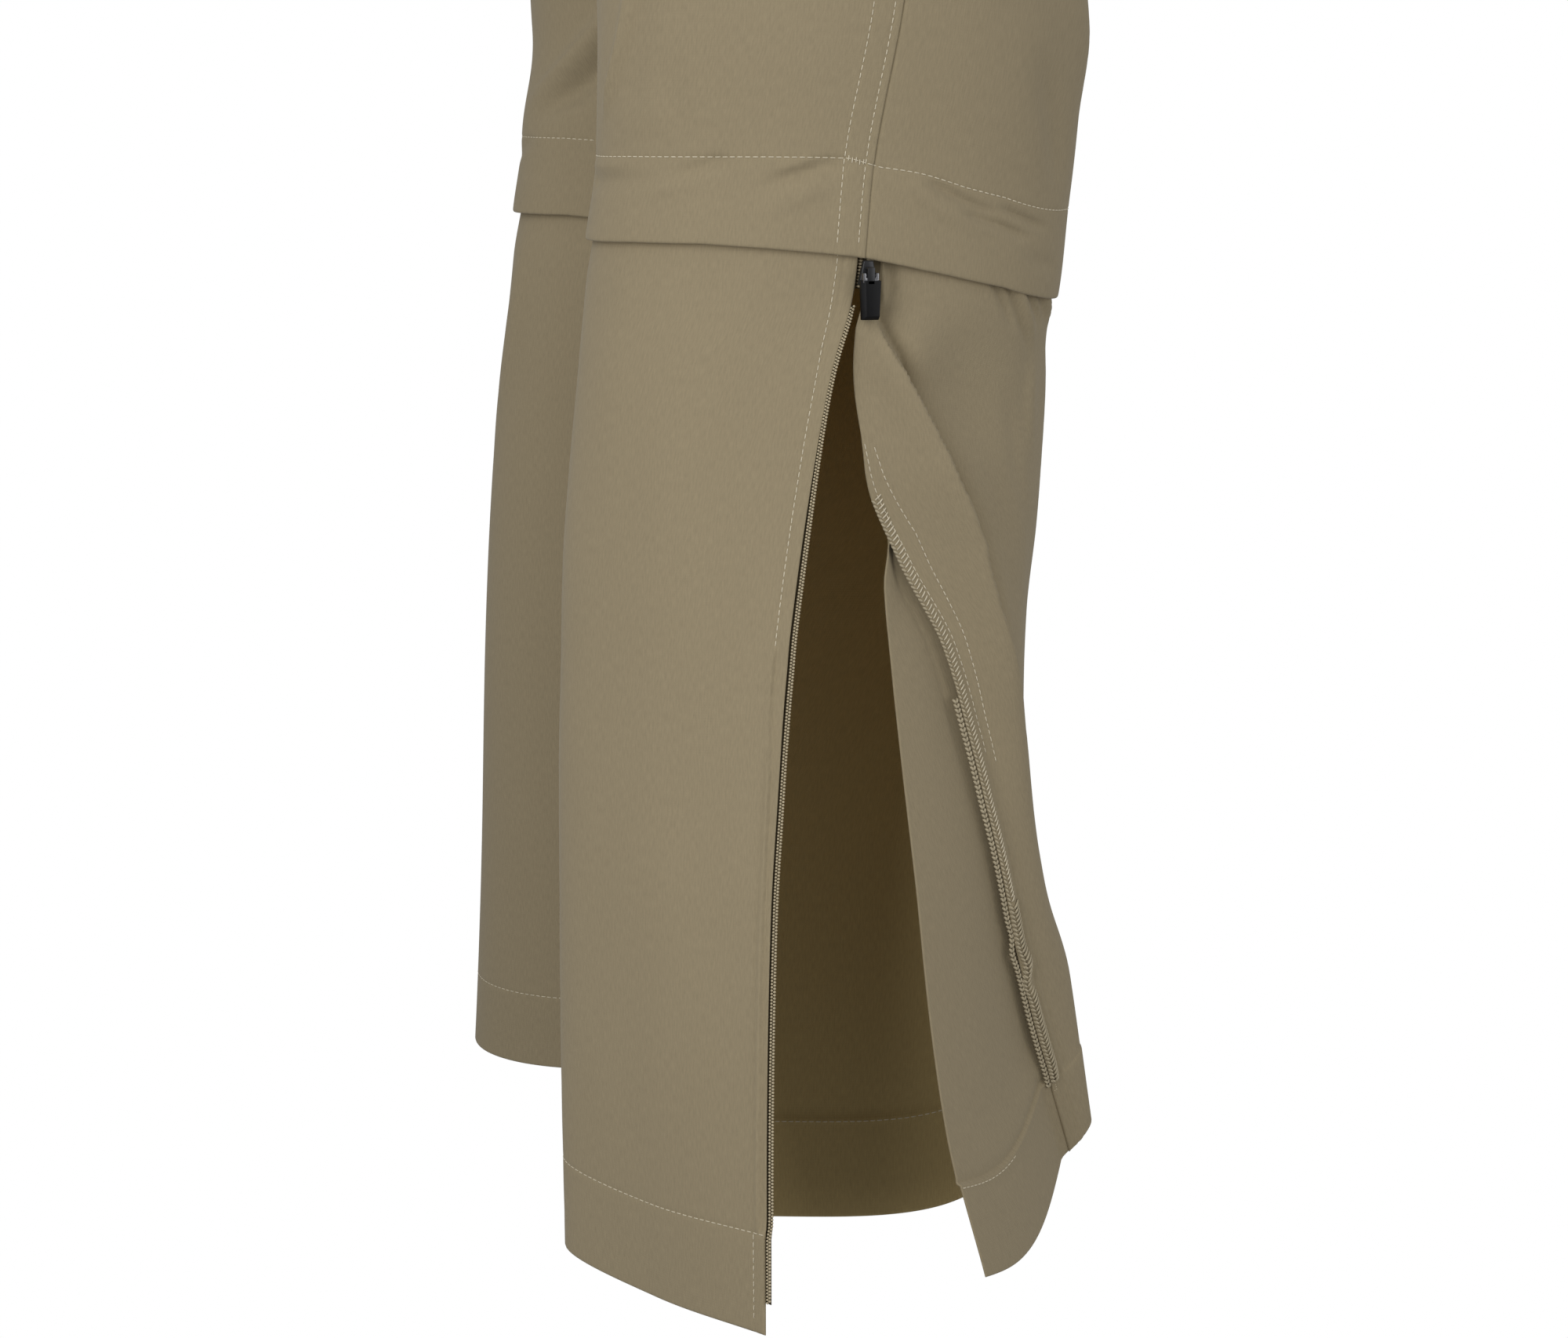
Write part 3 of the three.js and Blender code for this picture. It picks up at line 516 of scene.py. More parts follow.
def addBump(nodes, links, shader, height, strength, distance):
    bump = addNode(nodes, "ShaderNodeBump", Strength=strength, Distance=distance)
    links.new(height, bump.inputs["Height"])
    links.new(bump.outputs["Normal"], shader.inputs["Normal"])


def clothMaterial(name, look):
    material, nodes, links, shader = newMaterial(name, look)
    shader.inputs["Sheen Weight"].default_value = look["sheen"]
    shader.inputs["Sheen Roughness"].default_value = 0.5
    shader.inputs["Specular IOR Level"].default_value = 0.15
    cut = addNode(nodes, "ShaderNodeUVMap", uv_map="cut").outputs["UV"]
    streaks = mottledColour(nodes, links, cut, look["colour"], 1500.0, (1.0, 0.16, 1.0), 0.10)
    clouds = mottledColour(nodes, links, cut, streaks, 60.0, (1.0, 0.3, 1.0), 0.012)
    if "paintedLightUpLeg" in look:  # painted light: the reverse is coloured brighter up the leg and darker towards the hem, by height
        height = addNode(nodes, "ShaderNodeSeparateXYZ")
        links.new(addNode(nodes, "ShaderNodeTexCoord").outputs["Object"], height.inputs[0])
        paintedLightUpLeg = mapRange(nodes, links, height.outputs["Z"], look["paintedLightUpLeg"])
        clouds = scaledColour(nodes, links, clouds, paintedLightUpLeg)
    links.new(clouds, shader.inputs["Base Color"])
    weave = []
    for direction in ("X", "Y"):
        wave = addNode(nodes, "ShaderNodeTexWave", Scale=look["threadsPerMetre"] / (2 * math.pi),
                       Distortion=0.6, Detail=1.0)
        wave.bands_direction = direction
        links.new(cut, wave.inputs["Vector"])
        weave.append(wave.outputs["Fac"])
    crossed = addNode(nodes, "ShaderNodeMath", operation="MULTIPLY")
    links.new(weave[0], crossed.inputs[0])
    links.new(weave[1], crossed.inputs[1])
    addBump(nodes, links, shader, crossed.outputs["Value"], 0.25, 0.0001)
    return material


def threadMaterial(name, look, scale=2500.0, bumped=0.3, metallic=0.0, variation=0.12):
    material, nodes, links, shader = newMaterial(name, look, metallic)
    place = addNode(nodes, "ShaderNodeTexCoord").outputs["Object"]
    links.new(mottledColour(nodes, links, place, look["colour"], scale * 0.2, (1.0, 1.0, 1.0), variation),
              shader.inputs["Base Color"])
    noise = addNode(nodes, "ShaderNodeTexNoise", Scale=scale, Detail=2.0)
    links.new(place, noise.inputs["Vector"])
    addBump(nodes, links, shader, noise.outputs["Fac"], bumped, 0.00008)
    return material


materials = {
    "cloth": clothMaterial("trouserCloth", clothLook),
    "reverse": clothMaterial("trouserClothReversePaintedLight", reversePaintedLightLook),
    "thread": threadMaterial("sewingThread", threadLook),
    "overlock": threadMaterial("overlockThread", overlockLook),
    "tape": threadMaterial("zipTape", tapeShadeLook),
    "coil": threadMaterial("zipCoil", coilLook, bumped=0.1, variation=0.08),
    "slider": threadMaterial("sliderMetal", sliderLook, bumped=0.12, metallic=0.7, variation=0.06),
    "link": threadMaterial("linkMetal", linkLook, bumped=0.12, metallic=0.85, variation=0.06),
    "pull": threadMaterial("pullPlastic", pullLook, bumped=0.1, variation=0.05),
    "button": threadMaterial("buttonPlastic", buttonLook, bumped=0.1, variation=0.1),
}


def dress(piece, look, body="garment", nodes=()):
    piece.data.materials.clear()
    piece.data.materials.append(materials[look])
    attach(piece, body)
    if nodes:
        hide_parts(*nodes)


# Thigh panels, each with its knee flap as the panel's free edge
outseamRows = (3.4, 12.0)
thighPanel = {"wall": 0.9, "flapWall": 0.8, "flare": 1.6, "middle": 104, "step": 6.5,
              "overlap": {"front": 0.8, "back": 1.4}, "felled": 0.3, "lapped": 0.75,
              "fineRows": ((-588.0, -546.0, 1.3), (-544.0, -468.0, 3.0)),
              "near": (0, 0.2, 0.5, 0.9, 1.8, 5.4, 7.5, 9.6, 14.5)}
# Creases on the flat cloth, in millimetres: start (aside, z), end (aside, z), the widths on its two sides,
# depth (minus for a trough), bow, and the shares of its length over which it fades in and out
thighCreases = {
    ("front", 1): [
        (114, -476, 125, -541, 2.2, 4, 3.6, -3, 0.3, 0.3),
        (134, -564.5, 84, -562.5, 3.4, 3.4, -1.5, 0, 0.1, 0.6),
        (136, -557, 98, -556, 2.6, 2.6, 0.9, 0, 0.1, 0.5),
        (108, -478, 100, -546, 8, 8, -1.2, 3, 0.3, 0.3),
        (96, -505, 74, -548, 6, 6, -0.8, 2, 0.4, 0.4),
        (57, -553, 84, -565, 3.2, 3.2, -1.5, 1, 0.2, 0.5),
        (63, -561, 98, -571, 3.6, 3.6, 0.9, 0, 0.4, 0.5),
        (9, -554, 50, -569, 3.4, 3.4, -1.8, 2, 0.2, 0.5),
        (14, -561, 46, -577, 4.0, 4.0, 1.1, 0, 0.3, 0.6),
        (22, -553, 42, -559, 2.4, 2.4, 0.9, 0, 0.3, 0.5),
        (52, -420, 38, -520, 12, 12, -2.5, 5, 0.5, 0.5),
        (26, -350, 70, -440, 14, 14, 2.9, -6, 0.5, 0.5),
        (150, -300, 96, -400, 13, 13, -3.2, 6, 0.4, 0.5),
        (322, -268, 170, -300, 9, 9, 3.2, 6, 0.1, 0.7),
        (296, -246, 180, -272, 7, 7, -2.8, 5, 0.1, 0.7),
        (60, -120, 92, -180, 14, 14, 2.4, 3, 0.5, 0.5),
    ],
    ("back", 1): [
        (24, -555.5, 68, -561.5, 2.0, 2.0, -1.9, 0, 0.2, 0.4),
        (42, -562.5, 88, -567, 2.0, 2.0, -2.0, 0, 0.2, 0.4),
        (62, -557, 98, -561, 1.9, 1.9, -1.8, 0, 0.25, 0.4),
        (6, -556, 62, -572, 4.5, 4.5, 1.4, 0, 0.3, 0.5),
        (78, -574, 108, -577, 3.6, 3.6, -1.0, 0, 0.4, 0.3),
        (66, -500, 104, -548, 8, 8, -2.9, 4, 0.4, 0.4),
        (120, -520, 70, -470, 10, 10, 3.4, -5, 0.4, 0.5),
        (150, -505, 102, -440, 11, 11, -3.4, -6, 0.3, 0.5),
        (40, -330, 88, -400, 14, 14, -2.5, 5, 0.5, 0.5),
        (302, -270, 160, -318, 9, 9, 3.6, 7, 0.1, 0.7),
        (284, -248, 172, -284, 7, 7, -3.0, 6, 0.1, 0.7),
        (128, -150, 60, -196, 14, 14, 2.9, 4, 0.5, 0.5),
    ],
    ("front", -1): [
        (220, -476, 128, -542, 3.4, 9, 4.6, 3, 0.2, 0.6),
        (214, -500, 134, -549, 6, 6, -4.6, 3, 0.2, 0.5),
        (150, -552, 110, -566, 3.2, 3.2, -1.0, 0, 0.3, 0.5),
        (70, -556, 36, -566, 3.0, 3.0, -1.4, 0, 0.4, 0.5),
        (30, -555, 12, -570, 2.8, 2.8, 0.8, 0, 0.3, 0.5),
        (44, -400, 58, -510, 13, 13, -2.9, -5, 0.5, 0.5),
        (140, -310, 88, -380, 13, 13, 2.9, 5, 0.4, 0.5),
        (318, -266, 184, -308, 9, 9, 3.0, 6, 0.1, 0.7),
        (292, -244, 200, -270, 7, 7, -2.6, 4, 0.1, 0.7),
    ],
    ("back", -1): [
        (28, -556, 66, -565, 3.0, 3.0, -1.4, 0, 0.3, 0.4),
        (80, -566, 112, -560, 3.0, 3.0, -1.2, 0, 0.4, 0.4),
        (128, -524, 60, -486, 10, 10, 3.7, 5, 0.4, 0.5),
        (146, -500, 92, -452, 10, 10, -3.2, -5, 0.3, 0.5),
        (52, -360, 100, -420, 14, 14, 2.5, -5, 0.5, 0.5),
        (300, -268, 150, -306, 9, 9, 3.4, 6, 0.1, 0.7),
        (280, -246, 186, -290, 7, 7, -2.9, 5, 0.1, 0.7),
    ],
}
# How the flap hangs: heights above its level lines, by y, at the stitches and at the free edge
flapHang = {
    1: {"y": (-95, -84, -60, -36, -14, -3, 4, 10, 16, 28, 47, 66, 85, 100), "inner": (30, 90),
        "stitches": (0.2, 0.8, 1.1, 1.2, 1.0, 0.6, -1.3, -2.4, -2.3, -1.5, -1.0, 0.9, 0.7, 0.5),
        "edge": (3.2, 3.8, 3.9, 2.3, 0.3, -0.9, -1.9, -2.6, -2.9, -2.7, -0.8, 1.5, 1.2, 0.3)},
    -1: {"y": (-100, -78, -35, 0), "inner": (-2, -1),
         "stitches": (4.5, 4.4, 1.5, 0), "edge": (6.2, 6.4, 2.5, 0)},
}
cloths = {}


def hangShift(side, points, z):
    hang = flapHang[side]
    atStitches, atEdge = [np.interp(points[..., 1], hang["y"], hang[line]) for line in ("stitches", "edge")]
    share = np.clip((flapTop - z) / (flapTop - flapBottom), 0, 1)
    weight = smoothStep(flapTop + 45, flapTop, z) * smoothStep(*hang["inner"], side * points[..., 0])
    return (atStitches + (atEdge - atStitches) * share) * weight


def overlapped(dense, reach):  # a panel runs on past its first edge
    past = unit(dense[:, 0] - dense[:, 3])
    return np.concatenate([(dense[:, 0] + past * reach)[:, None], dense], axis=1)


def thighAndFlap(label, side, face):
    flip = (side == 1) != (face == "front")
    z = heightsBetween(waistTop, flapBottom, thighPanel["step"], lines=(flapTop,))
    fine = [np.arange(*rows) for rows in thighPanel["fineRows"]]
    z = np.array(sorted(set(np.round(np.concatenate([z, *fine]), 2)), reverse=True))
    turns = seamTurn + (1 - seamTurn) * np.linspace(0, 1, 261)[None]
    dense = overlapped(closedPoint(side, face, turns, z[:, None]), thighPanel["overlap"][face])
    near = withLines(thighPanel["near"], outseamRows)
    points, aside, z = spreadColumns(dense, z, thighPanel["middle"], near)
    points[..., 2] += hangShift(side, points, z)
    moved = creaseHeight(thighCreases[face, side], aside, z) + lineGroove(z - flapTop)
    moved += thighPanel["flare"] * smoothStep(flapTop, flapBottom, z)
    if face == "front":
        moved += sum(lineGroove(aside - row) for row in outseamRows)
        moved += thighPanel["felled"] * (1 - smoothStep(12.0, 14.5, aside))
    else:
        moved -= thighPanel["lapped"] * (1 - smoothStep(0.8, 3.2, aside))
    folded = thighPanel["flapWall"] * smoothStep(flapTop + 2, flapTop - 1, z)
    clothPiece(f"{face}_leg_cloth_{label}", (f"{face}_thigh_{label}", f"knee_flap_{face}_{label}"),
               points, aside, z, flip, thighPanel["wall"], moved, folded, reverse=True)


for label, side in sides:
    for face in ("front", "back"):
        thighAndFlap(label, side, face)
print("thighs and flaps done")

# Lower legs
lowerPanel = {"wall": 0.9, "turnUp": 0.8, "step": 4.0, "middle": 56, "middleRear": 46,
              "fineRows": (-578.0, -770.0, -1.7), "tuck": 2.2, "tuckedTo": (-606, -572),
              "near": (0, 0.2, 0.5, 0.9, 1.4, 1.8, 2.2, 2.6, 3.0, 3.4, 3.8, 7.6, 9, 12.8, 15, 18),
              "nearRear": (0, 0.2, 0.5, 0.9, *(1.5 + 0.7 * k for k in range(18)),
                           *(14.5 + 1.1 * k for k in range(42)), *(62 + 2.0 * k for k in range(27)))}
zipRow = 5.6
zipRowTop = (3.0, -645, -600)  # the row of stitches runs further from the edge near the slider
lowerCreases = {
    "shin_left": [
        (96, -586, 84, -700, 12, 12, 1.3, 4, 0.2, 0.6),
        (58, -588, 66, -650, 8, 8, -1.0, 0, 0.2, 0.7),
        (36, -760, 26, -900, 12, 12, -0.8, 3, 0.5, 0.5),
        (150, -592, 140, -690, 9, 9, -1.8, 4, 0.2, 0.6),
        (180, -620, 160, -760, 12, 12, 1.8, 5, 0.4, 0.5),
    ],
    "calf_left": [
        (7.6, -582, 9.2, -613, 0.9, 0.9, 1.1, 0, 0.1, 0.2),
        (11.5, -582, 13, -612, 2.6, 2.6, -1.6, 0, 0.1, 0.4),
        (60, -582, 80, -609, 2.4, 2.4, -2.0, 0, 0.05, 0.5),
        (69, -582, 94, -617, 2.5, 2.5, -2.0, 0, 0.05, 0.5),
        (75, -582, 100, -616, 2.6, 2.6, 1.7, 0, 0.05, 0.5),
        (82, -582, 104, -605, 2.3, 2.3, -2.1, 0, 0.05, 0.5),
        (92, -582, 112, -604, 2.4, 2.4, -1.9, 0, 0.05, 0.5),
        (101, -582, 120, -604, 2.6, 2.6, 1.4, 0, 0.05, 0.5),
        (97, -612, 91, -690, 4, 8, 2.0, 2, 0.3, 0.6),
        (38, -815, 36, -932, 13, 13, -5.0, 0, 0.45, 0.45),
        (82, -630, 74, -740, 5, 5, -1.0, 2, 0.3, 0.6),
        (150, -594, 140, -700, 8, 8, 3.2, -4, 0.3, 0.6),
        (176, -600, 190, -720, 9, 9, -3.2, 4, 0.3, 0.6),
    ],
    "shin_right": [
        (140, -588, 124, -700, 8, 8, 2.7, 4, 0.3, 0.6),
        (112, -588, 108, -630, 4, 4, -1.3, 0, 0.2, 0.7),
        (60, -590, 72, -720, 9, 9, -2.7, -5, 0.3, 0.6),
        (30, -700, 22, -860, 10, 10, 2.4, 4, 0.5, 0.5),
    ],
    "calf_right": [
        (52, -588, 54, -616, 3.0, 3.0, -1.6, 0, 0.1, 0.7),
        (74, -588, 78, -624, 3.4, 3.4, -1.8, 1, 0.1, 0.7),
        (96, -588, 92, -640, 5, 5, 1.4, 2, 0.1, 0.6),
        (120, -600, 104, -730, 9, 9, -3.2, 5, 0.3, 0.6),
        (168, -620, 150, -760, 10, 10, 3.1, -5, 0.4, 0.5),
    ],
}


# Soft roll of the rear panel: it starts under the pull tab and runs out to the leg's outline
rollPath = [(-585, 2.4), (-606, 2.4), (-616, 5.0), (-626, 10.3), (-637, 17.9), (-652, 25.0), (-667, 30.7),
            (-679, 34.2), (-696, 36.4), (-716, 35.5), (-727, 32.7), (-741, 29.1), (-751, 26.8), (-789, 24.8),
            (-830, 24.0)]
roll = {"rise": 3.0, "riseWidth": 11.0, "valley": 11.0, "turn": 1.05, "valleyWidth": 12.0}


def rollHeight(aside, z):
    beyond = aside - curveThrough(column(rollPath, 0), column(rollPath, 1), z)
    past = np.maximum(beyond, 0)
    strength = 0.4 * smoothStep(-578, -592, z) + 0.6 * smoothStep(-604, -650, z)
    strength *= (1 - 0.45 * smoothStep(-690, -760, z)) * (1 - smoothStep(-765, -815, z))
    left = np.exp(-(np.minimum(beyond, 0) / roll["riseWidth"]) ** 2)
    right = np.exp(-(past / (roll["turn"] * 2)) ** 2)
    valley = (1 - np.exp(-(past / roll["turn"]) ** 2)) * np.exp(-past / roll["valleyWidth"])
    return strength * (roll["rise"] * left * right - roll["valley"] * valley)


# How far the rear panel runs on past its edge, by height, and its two rows of stitches from that edge
rearReach = [(-606, 0), (-622, 2.4), (-640, 2.0), (-667, 1.2), (-682, 2.4), (-694, 3.3), (-730, 3.6),
             (-755, 4.0), (-795, 5.7), (-830, 6.0), (-875, 4.4), (-900, 3.8), (-918, 2.4), (-952, 1.2),
             (-975, 0.4), (-1007, 0.4)]
rearRows = [[(-669, 0.8), (-680, 1.9), (-694, 3.2), (-716, 4.9), (-745, 5.6), (-812, 5.8)],
            [(-671, 4.6), (-694, 9.8), (-710, 12.3), (-735, 12.0), (-765, 10.5), (-790, 9.8), (-816, 9.5)]]
# Hem of the rear panel near the zip, where the turned-up cloth shows on the outside, and its rolled edge
rearHem = {"turnUp": 0.6, "reach": 46, "tuck": 1.4}
edgeRoll = {"middle": 2.6, "width": 2.0, "rise": 1.5}
# The front panel's facing shows past a fold from where its row of stitches ends: distance by height
facing = {"edge": [(-740, 5.6), (-770, 5.0), (-795, 3.6), (-830, 2.7), (-1007, 2.7)], "drop": 1.3, "lip": 0.5,
          "from": (-738, -756), "to": (-966, -969)}


def tucked(z):  # the lower legs run in under the flaps
    return -lowerPanel["tuck"] * smoothStep(*lowerPanel["tuckedTo"], z)


def frontPanelMove(aside, z):
    fromFold = aside - byHeight(facing["edge"], z)
    past = 1 - smoothStep(-0.25, 0.25, fromFold)
    lip = facing["lip"] * np.exp(-(fromFold - 1.0) ** 2)
    return (lip - facing["drop"] * past) * smoothStep(*facing["from"], z) * (1 - smoothStep(*facing["to"], z))


def rearPanelMove(aside, z):
    fold = lowerTop - lowerHeight + hemBand
    hem = smoothStep(1.8, -1.8, z - fold) * (1 - smoothStep(rearHem["reach"] - 8, rearHem["reach"], aside))
    tuck = rearHem["tuck"] * smoothStep(4, -6, z - fold) * np.exp(-(aside / 5.0) ** 2)
    rolled = edgeRoll["rise"] * np.exp(-((aside - edgeRoll["middle"]) / edgeRoll["width"]) ** 2)
    rolled *= smoothStep(-690, -790, z) * smoothStep(fold - 4, fold + 8, z)
    grooves = sum(lineGroove(aside - byHeight(row, z)) for row in rearRows) * smoothStep(-655, -670, z)
    return rollHeight(aside - byHeight(rearReach, z), z) + rearHem["turnUp"] * hem - tuck + rolled + grooves


def lowerLeg(side, panel, pointAt, lines=(zipRow,), extraMove=None, reach=None):
    height = legHeights[side]
    fold = lowerTop - height + hemBand
    z = heightsBetween(lowerTop, lowerTop - height, lowerPanel["step"], lines=(fold,))
    if reach is not None:
        fine = [row for row in np.arange(*lowerPanel["fineRows"]) if np.abs(z - row).min() > 0.6]
        z = np.array(sorted([*z, *fine], reverse=True))
    dense = pointAt(np.linspace(0, 1, 401)[None], ((lowerTop - z) / height)[:, None])
    shift, near, middle = 0, lowerPanel["near"], lowerPanel["middle"]
    if reach is not None:
        shift, near, middle = byHeight(reach, z)[:, None], lowerPanel["nearRear"], lowerPanel["middleRear"]
        dense = overlapped(dense, shift)
    points, aside, z = spreadColumns(dense, z, middle, withLines(near, lines))
    moved = creaseHeight(lowerCreases[f"{panel}_{side}"], aside - shift, z) + tucked(z)
    moved += sum(lineGroove(aside - line) for line in lines) + lineGroove(z - fold)
    if extraMove is not None:
        moved += extraMove(aside, z)
    turnedUp = lowerPanel["turnUp"] * smoothStep(0, -0.6, z - fold - 1.6)
    clothPiece(f"{panel}_cloth_{side}", (f"{panel}_{side}",), points, aside, z,
               (panel == "calf") == (side == "left"), lowerPanel["wall"], moved, turnedUp, reverse=True)


def leftPanel(firstStation, lastStation):
    return lambda across, down: leftLower(firstStation + (lastStation - firstStation) * across, down)


def rightPanel(face):
    return lambda across, down: closedPoint(-1, face, zipTurn + (1 - zipTurn) * across,
                                            lowerTop - rightLowerHeight * down)


lowerLeg("left", "shin", leftPanel(0, inseamRail - 0.0025), extraMove=frontPanelMove)
lowerLeg("left", "calf", leftPanel(lastRail, inseamRail + 0.0025), (), rearPanelMove, rearReach)
lowerLeg("right", "shin", rightPanel("front"))
lowerLeg("right", "calf", rightPanel("back"))
print("lower legs done")


def edgeFrame(cloth, z):  # the first edge of a panel: its points, the way past it and outwards
    heights = cloth["z"][::-1, 0]

    def readRows(key, distance):
        return np.array([readRow(cloth, key, row, distance) for row in range(len(heights))])

    def atHeights(values):
        return np.stack([np.interp(z, heights, values[::-1, k]) for k in range(3)], axis=-1)

    edge = readRows("points", 0.0)
    past = unit(atHeights(edge - readRows("points", 4.5)))
    normal = atHeights(readRows("normals", 2.0))
    return atHeights(edge), past, unit(normal - past * (normal * past).sum(-1, keepdims=True))


# Underlap behind the opened zip, with its hem turned up on the side that shows
underlapCloth = {"wall": 0.9, "depth": -4.4, "hemDepth": -2.2, "reach": 5.0, "reachTop": -3.5,
                 "turnUp": 1.1, "top": 0.28, "step": 4.0, "columns": 44, "hidden": 0.2, "hiddenReach": 8,
                 "swell": (3, 3, -12)}


def addUnderlap():
    bottom = lowerTop - lowerHeight
    top = lowerTop - lowerHeight * underlapCloth["top"]
    foldLine = bottom + hemBand
    z = heightsBetween(top, bottom, underlapCloth["step"], lines=(foldLine,))
    down = (lowerTop - z) / lowerHeight
    share = (down - down[0]) / (down[-1] - down[0])
    edge, past, normal = edgeFrame(cloths["calf_cloth_left"], z)
    free = [curveThrough(column(underlapEdge, 0), column(underlapEdge, k), down) for k in (1, 2)]
    free = np.stack([*free, z], axis=-1)
    nearHem = smoothStep(foldLine + 24, foldLine - 2, z)[:, None]
    under = edge + normal * (underlapCloth["depth"] * (1 - nearHem) + underlapCloth["hemDepth"] * nearHem)
    reach = (underlapCloth["reachTop"] + (underlapCloth["reach"] - underlapCloth["reachTop"])
             * smoothStep(-702, -740, z))[:, None]
    dense, hidden = [], underlapCloth["hidden"]
    for across in np.linspace(0, 1, 161):
        if across < hidden:
            dense.append(under + past * (reach - underlapCloth["hiddenReach"] * (1 - across / hidden)))
            continue
        beyond = (across - hidden) / (1 - hidden)
        point = (under + past * reach) * (1 - beyond) + free * beyond
        dense.append(point + np.outer(share, underlapCloth["swell"]) * math.sin(math.pi * beyond))
    points, aside, z = spreadColumns(np.stack(dense, axis=1), z, underlapCloth["columns"])
    moved = underlapCloth["turnUp"] * smoothStep(0.3, -0.35, z - foldLine)
    moved += lineGroove(z - foldLine + 1.8, 0.15) - 0.5 * np.exp(-((z - foldLine - 0.8) / 1.2) ** 2)
    clothPiece("underlap_cloth_left", ("underlap_left",), points, aside, z, False, underlapCloth["wall"],
               moved)


addUnderlap()

# Side zips: tape under the cloth's edge and a coil of small beads beyond it
zipTape = {"wall": 0.7, "step": 5.0, "least": -2.0, "drawnIn": 9.0, "drawnFrom": (-622, -665)}
zipSection = [(2.3, -1.6), (1.8, -1.5), (1.1, -1.6), (0.2, -1.9), (-3, -2.1), (-7, -2.1)]
coilBead = {"pitch": 1.28, "past": 2.4, "sewnAt": 1.35, "out": -0.75,
            "shape": [(-0.46, 0, 0.3, 0.25), (-0.2, 0, 0.56, 0.6), (0.2, 0, 0.56, 0.6), (0.46, 0, 0.3, 0.25)],
            "sewn": [(-0.46, 0, 0.25, 0.25), (-0.2, 0.1, 0.5, 0.55), (0.2, 0.1, 0.5, 0.55),
                     (0.46, 0, 0.25, 0.25)]}


def finishParts(name, parts, look):
    dress(addMesh(name, parts["points"], parts["faces"]), look)


def openedZip(name, node, cloth, flip, firstDown, lastDown, pastShift):
    z = np.arange(lowerTop - lowerHeight * firstDown, lowerTop - lowerHeight * lastDown, -zipTape["step"])
    edge, past, normal = edgeFrame(cloth, z)
    shift = pastShift(z)[:, None]
    inward = zipTape["least"] - zipTape["drawnIn"] * smoothStep(*zipTape["drawnFrom"], z)[:, None]
    dense = np.stack([edge + past * np.maximum(beyond + shift, inward + 0.3 * k) + normal * out
                      for k, (beyond, out) in zip(range(5, -1, -1), zipSection)], axis=1)
    aside = np.array([travelled(row) for row in dense])
    clothPiece(f"{name}_tape", (node,), dense, aside, np.repeat(z[:, None], len(zipSection), 1), flip,
               zipTape["wall"], np.zeros(aside.shape), look="tape")
    line = edge + past * np.maximum(coilBead["past"] + shift, inward + 1.2) + normal * coilBead["out"]
    parts = newParts()
    beadRow(parts, *evenly((line, normal), coilBead["pitch"]), coilBead["shape"])
    sewn = edge + past * np.maximum(coilBead["sewnAt"] + shift, inward) + normal * coilBead["out"]
    sewn += (line[-1] - line[0]) / len(line) / zipTape["step"] * coilBead["pitch"] / 2
    beadRow(parts, *evenly((sewn, normal), coilBead["pitch"]), coilBead["sewn"], sides=5)
    finishParts(f"{name}_coil", parts, "coil")


openedZip("side_zip_front", "side_zip_front_left", cloths["shin_cloth_left"], False, 0.10, 0.975,
          lambda z: -1.1 * smoothStep(-720, -640, z))
openedZip("side_zip_rear", "side_zip_rear_left", cloths["calf_cloth_left"], True, 0.125, 0.94,
          lambda z: np.full_like(z, -3.4))
print("zips done")

# Sewing: rows of stitches that lie on the cloth
stitch = {"pitch": 3.1, "shape": [(-1.15, -0.12, 0.12, 0.1), (-0.8, 0.14, 0.25, 0.18),
                                  (0.8, 0.14, 0.25, 0.18), (1.15, -0.12, 0.12, 0.1)]}


def sewRows(name, lines, pitch=stitch["pitch"], shape=stitch["shape"]):
    parts = newParts()
    for line in lines:
        beadRow(parts, *evenly(line, pitch), shape, sides=5)
    finishParts(name, parts, "thread")


for label, side in sides:
    front, back = cloths[f"front_leg_cloth_{label}"], cloths[f"back_leg_cloth_{label}"]
    sewRows(f"outseam_stitches_{label}",
            [lineDown(front, row, waistTop - 2, flapBottom + 3) for row in outseamRows])
    sunk = 0 if side == 1 else -0.13
    sewRows(f"flap_stitches_{label}", [lineAcross(front, flapTop, 0.0, 0.995, sunk),
                                       lineAcross(back, flapTop, 0.01, 0.995, sunk)])
    lowest = lowerTop - legHeights[label]
    sewRows(f"hem_stitches_{label}",
            [lineAcross(cloths[f"{panel}_cloth_{label}"], lowest + hemBand, fromShare, 0.995)
             for panel, fromShare in (("shin", 0.02), ("calf", 0.45 if side == 1 else 0.02))])
    row = (lambda z: zipRow + zipRowTop[0] * smoothStep(*zipRowTop[1:], z)) if side == 1 else zipRow
    stretches = [(-580, lowest + 2)] if side == -1 else [(-580, -748), (lowest + hemBand, lowest + 2)]
    sewRows(f"zip_stitches_{label}",
            [lineDown(cloths[f"shin_cloth_{label}"], row, *stretch) for stretch in stretches])
sewRows("zip_stitches_rear", [lineDown(cloths["calf_cloth_left"], lambda z, row=row: byHeight(row, z),
                                       row[0][0], row[-1][0]) for row in rearRows])
hemInside = lowerPanel["wall"] + lowerPanel["turnUp"] + 0.05
